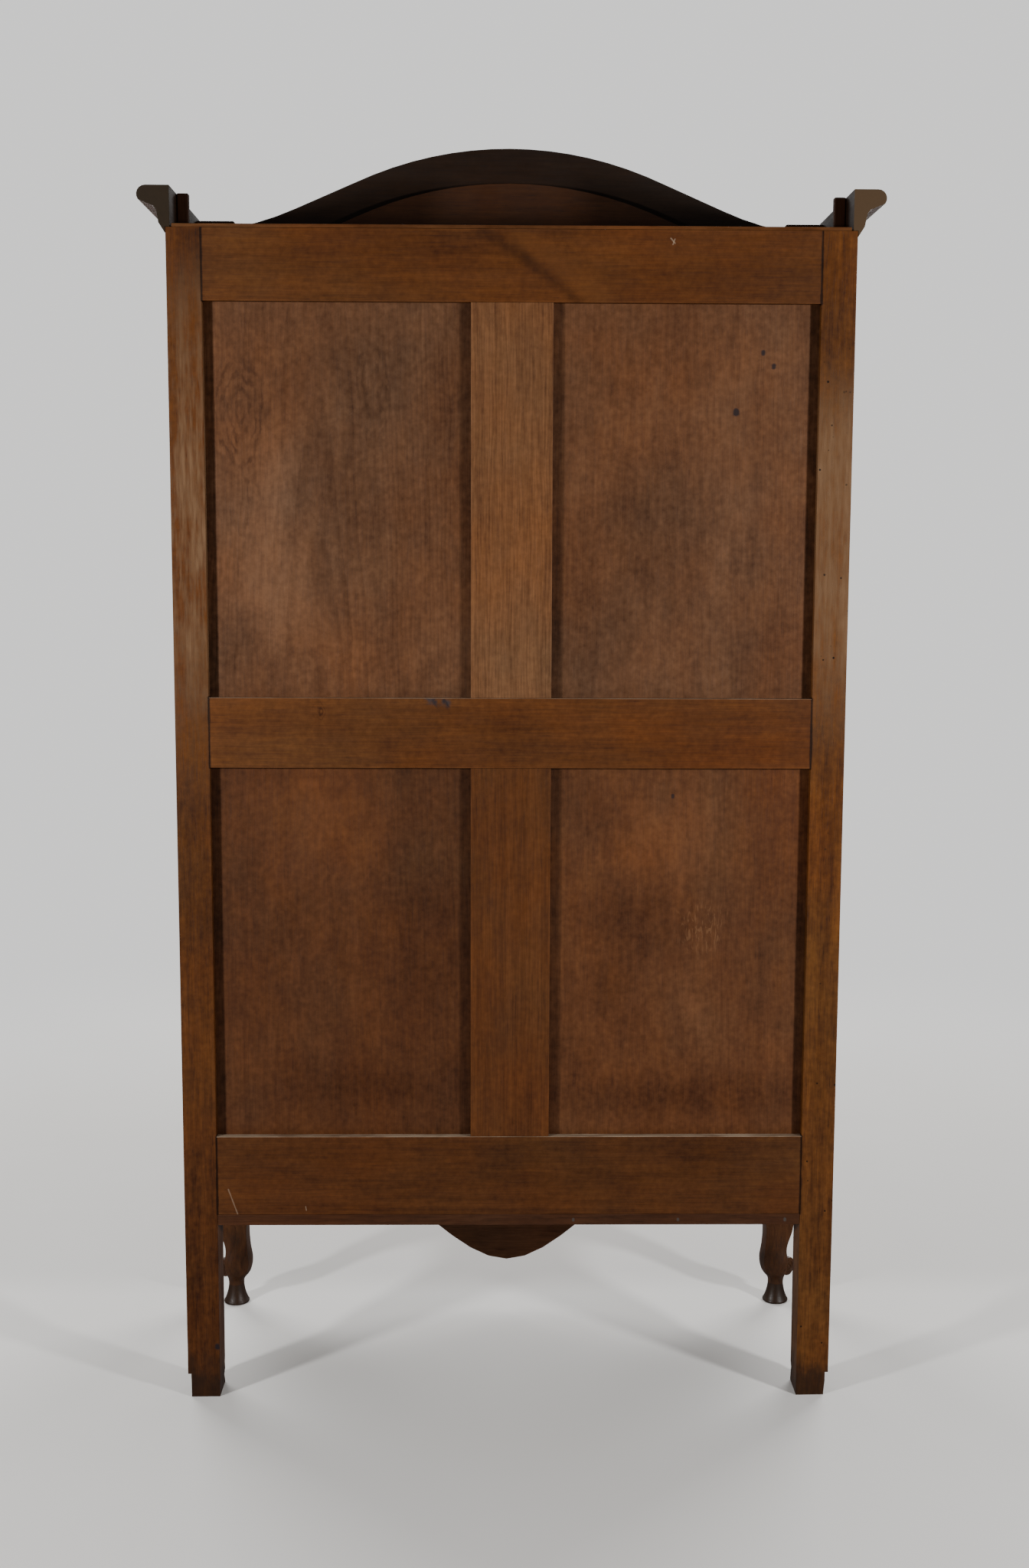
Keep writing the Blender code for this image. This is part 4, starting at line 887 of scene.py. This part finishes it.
def dress_front_and_sides():
    """Aprons, side frames, doors and glass."""
    dress("apron_rail", front_stain("apron_rail", "XZY"), ease=0.0025, segments=3)
    glass = old_glass("window_glass")
    for word in SIDES:
        node = f"side_top_rail_{word}"
        dress(node, front_stain(node, "YZX", gloss=0.08, rough=0.58))
        node = f"side_apron_{word}"
        dress(node, front_stain(node, "YZX"), ease=0.002, segments=3)
        for part in ("hinge_stile", "meeting_stile"):
            node = f"{word}_door_{part}"
            dress(node, front_stain(node, "ZXY", pith=(0.05, 0.07), spacing=0.004))
        for part in ("top_rail", "middle_rail", "bottom_rail"):
            node = f"{word}_door_{part}"
            dress(node, front_stain(node, "XZY"), shaping=close_joints)
        node = f"{word}_door_panel"
        figured = front_stain(node, "ZXY", pith=(0.0, 0.05), bow=0.15, ring=0.30)
        dress(node, figured, ease=0.0006)
        for node in (f"{word}_door_glass", f"side_glass_{word}"):
            dress(node, glass, ease=0.0004, segments=1)


def close_joints(shape):
    """Stretches a rail along X until its shoulders meet the stiles."""
    low, high = corners_of(shape.verts)
    middle = (low.x + high.x) / 2
    stretch = 1 + 2 * FIT / (high.x - low.x)
    for vert in shape.verts:
        vert.co.x = middle + (vert.co.x - middle) * stretch


# Legs

LEG_BODY = (0.070, 0.0245, 0.0074)
FOOT_BODY = (0.021, 0.0095, 0.0042)
LEG_TOP = 0.1675
LEG_FOOT = 0.0343
LEG_STEP = 0.004
LEG_SIDE = 0.012      # edges of the cut that are longer than this are divided
LEG_DIVISIONS = 6
LEG_SECTIONS = (
    # height, inner side moved out, outer side moved out, roundness
    (LEG_TOP, 0.0000, 0.0000, 0.00), (0.137, -0.0035, -0.0015, 0.12), (0.105, 0.0000, -0.0100, 0.34),
    (0.078, 0.0040, -0.0075, 0.52), (0.058, 0.0000, -0.0085, 0.75), (0.043, -0.0110, -0.0125, 0.96),
    (LEG_FOOT, -0.0120, -0.0135, 1.00),
)
SCROLL_HEIGHT = 0.064
SCROLL_OUT = 0.013
SCROLL_RADIUS = 0.0165
SCROLL_LENGTH = 0.040
SCROLL_EASE = 0.0022
SCROLL_HOLLOW = 0.0012
SPIRAL_STEPS = 40
SPIRAL_TURN = 3.1 * math.pi
SPIRAL_INSET = 0.0045
SPIRAL_CLOSING = 0.82  # share of its reach that the spiral loses on its way in
FILLET = 0.0016
FILLET_TAPER = 0.45
EYE_PROFILE = ((0.0, -0.001), (0.0032, -0.001), (0.0030, 0.0006), (0.0020, 0.0012), (0.0, 0.0014))
FOOT_PROFILE = (
    (0.0, 0.0), (0.0205, 0.0), (0.0221, 0.0010), (0.0225, 0.0026), (0.0222, 0.0042),
    (0.0211, 0.0056), (0.0196, 0.0085), (0.0178, 0.0132), (0.0162, 0.0185), (0.0149, 0.0240),
    (0.0140, 0.0290), (0.0134, 0.0340), (0.0, 0.0340),
)


def leg_section(height):
    """Offsets and roundness of the leg at a height, on a smooth curve through its stations."""
    stations = [LEG_SECTIONS[0], *LEG_SECTIONS, LEG_SECTIONS[-1]]
    for before, above, below, after in zip(stations, stations[1:], stations[2:], stations[3:]):
        if above[0] >= height >= below[0] and above[0] > below[0]:
            share = (above[0] - height) / (above[0] - below[0])
            return [
                0.5 * (2 * b + (c - a) * share + (2 * a - 5 * b + 4 * c - d) * share ** 2
                       + (3 * b - a - 3 * c + d) * share ** 3)
                for a, b, c, d in zip(before[1:], above[1:], below[1:], after[1:])
            ]
    return list(LEG_SECTIONS[-1][1:])


def open_leg(shape):
    """Cuts a front post off over its leg and gives the edges of the cut, the long ones divided."""
    loop = edges_among(cut_level(shape, LEG_TOP, clear_inner=True))
    long = [edge for edge in loop if edge.calc_length() > LEG_SIDE]
    fine = bmesh.ops.subdivide_edges(shape, edges=long, cuts=LEG_DIVISIONS)["geom_split"]
    loop = set(edges_among(loop + fine))
    return [edge for edge in loop if all(abs(vert.co.z - LEG_TOP) < MERGE for vert in edge.verts)]


def draw_leg(shape, side):
    """Draws a front leg down from the cut end of its post, section by section."""
    loop = open_leg(shape)
    corners = {vert for edge in loop for vert in edge.verts}
    low, high = corners_of(corners)
    middle, half = (low + high) / 2, (high - low) / 2
    spots = {vert: ((vert.co.x - middle.x) / half.x, (vert.co.y - middle.y) / half.y) for vert in corners}
    count = round((LEG_TOP - LEG_FOOT) / LEG_STEP)
    for step in range(1, count + 1):
        height = LEG_TOP + (LEG_FOOT - LEG_TOP) * step / count
        inner, outer, round_share = leg_section(height)
        places = {tuple(vert.co): spot for vert, spot in spots.items()}
        made = bmesh.ops.extrude_edge_only(shape, edges=loop)["geom"]
        fresh = [part for part in made if isinstance(part, bmesh.types.BMVert)]
        spots = {vert: places[tuple(vert.co)] for vert in fresh}
        loop = [edge for edge in edges_among(made) if all(vert in spots for vert in edge.verts)]
        for vert, (across, deep) in spots.items():
            disc = (across * math.sqrt(1 - deep ** 2 / 2), deep * math.sqrt(1 - across ** 2 / 2))
            across += (disc[0] - across) * round_share
            deep += (disc[1] - deep) * round_share
            out_x = side * outer if across * side > 0 else -side * inner
            out_y = -outer if deep < 0 else inner
            vert.co.x = middle.x + across * half.x + out_x * abs(across)
            vert.co.y = middle.y + deep * half.y + out_y * abs(deep)
            vert.co.z = height
    bmesh.ops.contextual_create(shape, geom=loop)
    bmesh.ops.recalc_face_normals(shape, faces=shape.faces[:])


def scroll(side):
    """The rolled toe of a front leg: a drum with a spiral fillet on each end."""
    low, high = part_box("front_foot_right")
    centre = Vector((side * (low.x + high.x) / 2, (low.y + high.y) / 2, SCROLL_HEIGHT))
    out = Vector((side, -1, 0)).normalized()
    axis = Vector((side, 1, 0)).normalized()
    middle = centre + out * SCROLL_OUT
    half, radius, ease = SCROLL_LENGTH / 2, SCROLL_RADIUS, SCROLL_EASE
    floor = half - SCROLL_HOLLOW
    profile = [
        (0.0, -floor), (radius - 2.5 * ease, -floor), (radius - 2 * ease, -half),
        (radius - 0.3 * ease, -half + 0.3 * ease), (radius, -half + ease), (radius * 0.97, 0.0),
    ]
    profile += [(r, -h) for r, h in reversed(profile[:-1])]
    shapes = [turned(profile, middle, axis, 40)]
    for end in (-1, 1):
        rings = []
        for step in range(SPIRAL_STEPS + 1):
            share = step / SPIRAL_STEPS
            turn = share * SPIRAL_TURN
            reach = (radius - SPIRAL_INSET) * (1 - SPIRAL_CLOSING * share)
            way = out * math.cos(turn) + Vector((0, 0, 1)) * math.sin(turn)
            spot = middle + way * reach + axis * end * floor
            size = FILLET * (1 - FILLET_TAPER * share)
            rings.append([
                spot + (way * math.cos(a) + axis * math.sin(a)) * size
                for a in (corner * math.pi / 4 for corner in range(8))
            ])
        shapes.append(loft(rings))
        shapes.append(turned(EYE_PROFILE, middle + axis * end * floor, axis * end, 20))
    return join(shapes)


def dress_legs():
    """Front posts with their scrolled legs, and the turned feet."""
    for word, side in SIDES.items():
        node = f"front_post_{word}"
        stain = stained_wood(
            f"{node}_stain", node, "ZXY", LEG_BODY, pith=(0.03, 0.06), spacing=0.005, gloss=0.18, rough=0.46,
            marks=[(floor_grime, 0.16, 0.55)],
        )
        dress(node, stain, shaping=lambda shape: draw_leg(shape, side))
        place_piece(f"leg_scroll_{word}", scroll(side), body_of(node), stain)
        node = f"front_foot_{word}"
        low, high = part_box(node)
        middle = (low + high) / 2
        stain = stained_wood(f"{node}_stain", node, "ZXY", FOOT_BODY, gloss=0.25, rough=0.45)
        foot = turned(FOOT_PROFILE, (middle.x, middle.y, low.z), (0, 0, 1), 48)
        place_piece(f"{node}_turned", foot, body_of(node), stain, [node])


# Beads and small fittings

BEAD_STEPS = 6
CORNER_ROOM = 0.002   # points of a pane's top nearer than this to its corners are left out


def bead_frame(outline, out):
    """A quarter-round bead round the inside of an opening; out points away from the pane."""
    angles = [math.pi / 2 * step / BEAD_STEPS for step in range(BEAD_STEPS + 1)]
    profile = [(0.0, 0.0), *((BEAD * math.cos(a), BEAD * math.sin(a)) for a in angles)]
    middle = sum(outline, Vector()) / len(outline)
    rings = []
    for before, point, after in zip(outline[-1:] + outline[:-1], outline, outline[1:] + outline[:1]):
        first = out.cross(point - before).normalized()
        second = out.cross(after - point).normalized()
        inward = (first + second) / (1 + first.dot(second))
        if inward.dot(middle - point) < 0:
            inward = -inward
        rings.append([point + inward * across + out * rise for across, rise in profile])
    return loft(rings, closed=True)


def pane_outline(node, flat, face):
    """Sight edge on a face of a pane, its outline less the part in the grooves. flat is its thin axis."""
    low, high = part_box(node)
    wide = 1 - flat
    left, right = low[wide] + GROOVE_LAP, high[wide] - GROOVE_LAP
    tops = {}
    for vert in frame["nodes"][node].data.vertices:
        if vert.co.z > (low.z + high.z) / 2:
            tops[round(vert.co[wide], 4)] = vert.co.z
    line = sorted(tops.items())

    def top(at):
        for (a, z_a), (b, z_b) in zip(line, line[1:]):
            if a <= at <= b:
                return z_a + (z_b - z_a) * (at - a) / (b - a) - GROOVE_LAP
        return line[-1][1] - GROOVE_LAP

    row = [left, *(at for at, z in line if left + CORNER_ROOM < at < right - CORNER_ROOM), right]
    sill = low.z + GROOVE_LAP
    spots = [(left, sill), (right, sill), *((at, top(at)) for at in reversed(row))]
    outline = []
    for across, height in spots:
        point = Vector((0.0, 0.0, height))
        point[wide] = across
        point[flat] = face
        outline.append(point)
    return outline


def fit_beads(stain):
    """Glazing beads on both faces of every pane."""
    panes = {f"{word}_door_glass": 1 for word in SIDES}
    panes |= {f"side_glass_{word}": 0 for word in SIDES}
    for node, flat in panes.items():
        for place, way, corner in zip(("outer", "inner"), (-1, 1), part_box(node)):
            out = Vector()
            out[flat] = way
            bead = bead_frame(pane_outline(node, flat, corner[flat]), out)
            place_piece(f"{node}_bead_{place}", bead, body_of(node), stain)


# Sizes and places of the small fittings; plates are listed as rings of half width, half height and rise
BEAD_BODY = (0.070, 0.026, 0.0085)
MEETING_WIDTH = 0.010
MEETING_RISE = 0.0052
MEETING_ROOT = 0.002            # part of the bead that is let into the stile
MEETING_ENDS = (0.002, -0.006)  # ends of the bead, from those of the stile
KEY_HEIGHT = 1.140
ESCUTCHEON_RINGS = (
    (0.0090, 0.0160, -0.0002), (0.0090, 0.0160, 0.0007), (0.0084, 0.0154, 0.0012), (0.0070, 0.0138, 0.0014),
    (0.0046, 0.0046, 0.0016), (0.0042, 0.0042, 0.0011), (0.0042, 0.0042, -0.0003),
)
HINGE_OUT = 0.4545    # axis of a hinge, from the middle plane
HINGE_FORE = 0.007    # and before the face of the doors
FINIAL_PROFILE = (
    (0.0, -0.001), (0.0030, -0.001), (0.0028, 0.0004), (0.0021, 0.0012), (0.0030, 0.0022), (0.0036, 0.0036),
    (0.0036, 0.0050), (0.0029, 0.0064), (0.0016, 0.0073), (0.0, 0.0077),
)
PLATE_RINGS = (
    (0.0085, 0.022, -0.0002), (0.0085, 0.022, 0.0007), (0.0080, 0.0215, 0.0010), (0.0046, 0.0114, 0.0012),
    (0.0042, 0.0110, 0.0007), (0.0042, 0.0110, -0.0003),
)
PLATE_CORNER = 0.0042
PLATE_SHIFT = 0.006   # from the knob at rest to the middle of its travel
CLEAT_IN = 0.439      # inner end of a cleat, from the middle plane
CLEAT_DEPTH = (-0.060, -0.020)
CLEAT_RISE = (0.0056, 0.0515)   # over the tops of the posts


def fit_meeting_bead(stain):
    """The bead that covers the gap between the doors."""
    low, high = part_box("right_door_meeting_stile")
    shares = [step / 10 for step in range(11)]
    profile = [(MEETING_WIDTH * share, -MEETING_RISE * math.sin(math.pi * share)) for share in shares]
    profile.append((MEETING_WIDTH / 2, MEETING_ROOT))
    rings = [
        [(low.x + across, FACE + rise, height) for across, rise in profile]
        for height in (low.z + MEETING_ENDS[0], high.z + MEETING_ENDS[1])
    ]
    place_piece("meeting_bead", loft(rings), "right_door", stain)


def fit_escutcheon(metal):
    """The oval plate round the key."""
    low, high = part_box("key")
    middle = (low.x + high.x) / 2
    angles = [2 * math.pi * step / 48 for step in range(48)]
    rings = [
        [(middle + wide * math.cos(a), FACE - rise, KEY_HEIGHT + tall * math.sin(a)) for a in angles]
        for wide, tall, rise in ESCUTCHEON_RINGS
    ]
    place_piece("escutcheon", loft(rings, closed=True), "right_door", metal)


def fit_finials(metal):
    """Turned ends of the hinges."""
    for word, side in SIDES.items():
        for place in ("lower", "upper"):
            for node, end in ((f"{word}_{place}_hinge_pin", -1), (f"{word}_door_{place}_knuckle", 1)):
                low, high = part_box(node)
                spot = (side * HINGE_OUT, FACE - HINGE_FORE, low.z if end < 0 else high.z)
                finial = turned(FINIAL_PROFILE, spot, (0, 0, end), 24)
                place_piece(f"{node}_finial", finial, body_of(node), metal)


def fit_bolt_plates(metal):
    """The slotted plates that the bolts' knobs slide in."""
    angles = [2 * math.pi * (step + 0.5) / 32 for step in range(32)]
    for word, way in (("upper", 1), ("lower", -1)):
        bolt = frame["nodes"][f"{word}_bolt"].data
        knob = [vert.co for vert in bolt.vertices if vert.co.y > FACE_BACK]
        centre = sum(knob, Vector()) / len(knob)
        rings = []
        for wide, tall, rise in PLATE_RINGS:
            bend = min(wide, PLATE_CORNER)
            ring = []
            for angle in angles:
                across = math.copysign(wide - bend, math.cos(angle)) + bend * math.cos(angle)
                up = math.copysign(tall - bend, math.sin(angle)) + bend * math.sin(angle)
                ring.append((centre.x + across, FACE_BACK + rise, centre.z + way * PLATE_SHIFT + up))
            rings.append(ring)
        place_piece(f"{word}_bolt_plate", loft(rings, closed=True), "left_door", metal)


def fit_cornice_cleats():
    """Low cleats that stand inside the side mouldings."""
    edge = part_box("cornice_right")[0].x - FIT
    for word, side in SIDES.items():
        near = (side * CLEAT_IN, CLEAT_DEPTH[0], POST_TOP + CLEAT_RISE[0])
        far = (side * edge, CLEAT_DEPTH[1], POST_TOP + CLEAT_RISE[1])
        piece = f"cornice_cleat_{word}"
        stain = block_stain(piece, f"cornice_block_{word}", "YXZ")
        place_piece(piece, block(near, far, 0.002), "carcase", stain)


def dress_metal():
    """Hinges, bolts, lock and key, and the trim that goes with them."""
    old_brass = brass("old_brass")
    old_steel = steel("old_steel")
    for word in SIDES:
        for place in ("lower", "upper"):
            dress(f"{word}_{place}_hinge_pin", old_brass, ease=0.0003)
            dress(f"{word}_door_{place}_knuckle", old_brass, ease=0.0003)
    for node in ("upper_bolt", "lower_bolt"):
        dress(node, old_brass, ease=0.0004)
    for node in ("lock_case", "lock_bolt", "key"):
        dress(node, old_steel, ease=0.0004)
    trim = stained_wood(
        "bead_stain", "right_door_meeting_stile", "ZXY", BEAD_BODY, gloss=0.35, rough=0.38,
    )
    fit_beads(trim)
    fit_meeting_bead(trim)
    fit_escutcheon(old_brass)
    fit_finials(old_brass)
    fit_bolt_plates(old_brass)
    fit_cornice_cleats()


# Stage, light and camera

FLOOR_HALF = 60.0
FLOOR_FADE = (1.5, 3.2)         # the floor fades out between these distances
FLOOR_TONES = ((0.72, 0.70, 0.67), (0.78, 0.77, 0.75))

# Two lamps behind the cabinet and two before it
REAR_TURN = math.radians(52.5)
REAR_REACH = 3.0
REAR_HEIGHT = 1.42
REAR_SIZE = 0.28
REAR_POWER = 78.5
REAR_AIM = 1.1
FRONT_PLACE = (2.4, -3.4, 2.8)  # of the right lamp; the left one mirrors it
FRONT_SIZE = 2.4
FRONT_POWER = 160.0
FRONT_AIM = 1.0

# Light from all round, as it falls on the cabinet and as the camera sees it
WHITE = (1.0, 0.995, 0.985)
FILL = 0.16
BACKDROP = 1.02

# Camera: lens in millimetres, place from the back, the middle plane and the floor, turns in radians
CAMERA_LENS = 41.59
CAMERA_BACK = 2.7275
CAMERA_SIDE = 0.0336
CAMERA_HEIGHT = 1.3195
CAMERA_YAW, CAMERA_TILT, CAMERA_ROLL = 0.0144, 0.1248, 0.0035


def lay_floor():
    """A pale floor that fades out into the backdrop."""
    shape = bmesh.new()
    bmesh.ops.create_grid(shape, x_segments=1, y_segments=1, size=FLOOR_HALF)
    mesh = bpy.data.meshes.new("floor")
    shape.to_mesh(mesh)
    shape.free()
    finish = Finish("pale_floor")
    tone = finish.noise(1.5, 4.0)
    colour = finish.blend(tone, *map(shade, FLOOR_TONES))
    near = finish.fall(finish.vector("LENGTH", finish.place), *FLOOR_FADE)
    mesh.materials.append(finish.wear(Base_Color=colour, Roughness=0.8, Specular_IOR_Level=0.1, Alpha=near))
    floor = bpy.data.objects.new("floor", mesh)
    floor.visible_glossy = False
    bpy.context.scene.collection.objects.link(floor)


def hang_lamp(name, place, aim, shape, size, power):
    """A lamp that points at a place and isn't seen itself."""
    lamp = bpy.data.lights.new(name, "AREA")
    lamp.shape = shape
    lamp.size = size
    lamp.energy = power
    stand = bpy.data.objects.new(name, lamp)
    stand.location = place
    stand.rotation_euler = (Vector(aim) - Vector(place)).to_track_quat("-Z", "Y").to_euler()
    stand.visible_camera = False
    bpy.context.scene.collection.objects.link(stand)


def light_studio():
    """A small lamp to each side behind the cabinet, wide soft ones before it, and an even fill."""
    out, back = REAR_REACH * math.sin(REAR_TURN), REAR_REACH * math.cos(REAR_TURN)
    for word, side in SIDES.items():
        place = (side * out, REAR + back, REAR_HEIGHT)
        hang_lamp(f"{word}_rear_lamp", place, (0.0, REAR, REAR_AIM), "DISK", REAR_SIZE, REAR_POWER)
        place = (side * FRONT_PLACE[0], *FRONT_PLACE[1:])
        hang_lamp(f"{word}_front_lamp", place, (0.0, FACE, FRONT_AIM), "SQUARE", FRONT_SIZE, FRONT_POWER)

    world = bpy.data.worlds.new("studio")
    bpy.context.scene.world = world
    world.use_nodes = True
    tree = world.node_tree
    glow = tree.nodes["Background"]
    glow.inputs["Color"].default_value = shade(WHITE)
    paths = tree.nodes.new("ShaderNodeLightPath")
    strength = tree.nodes.new("ShaderNodeMapRange")
    strength.inputs["To Min"].default_value = FILL
    strength.inputs["To Max"].default_value = BACKDROP
    tree.links.new(paths.outputs["Is Camera Ray"], strength.inputs["Value"])
    tree.links.new(strength.outputs[0], glow.inputs["Strength"])


def set_camera():
    """Camera behind the cabinet, a little over its middle height and tilted down."""
    lens = bpy.data.cameras.new("camera")
    lens.sensor_width = 36.0
    lens.lens = CAMERA_LENS
    camera = bpy.data.objects.new("camera", lens)
    bpy.context.scene.collection.objects.link(camera)
    camera.location = (CAMERA_SIDE, REAR + CAMERA_BACK, CAMERA_HEIGHT)
    turn = Matrix.Rotation(math.pi - CAMERA_YAW, 4, "Z")
    turn @= Matrix.Rotation(math.pi / 2 - CAMERA_TILT, 4, "X")
    turn @= Matrix.Rotation(CAMERA_ROLL, 4, "Z")
    camera.rotation_mode = "QUATERNION"
    camera.rotation_quaternion = turn.to_quaternion()
    bpy.context.scene.camera = camera


dress_back_rails()
dress_muntins()
dress_rear_posts()
dress_back_panels()
dress_boards()
dress_cornice()
dress_front_and_sides()
dress_legs()
dress_metal()
lay_floor()
light_studio()
set_camera()
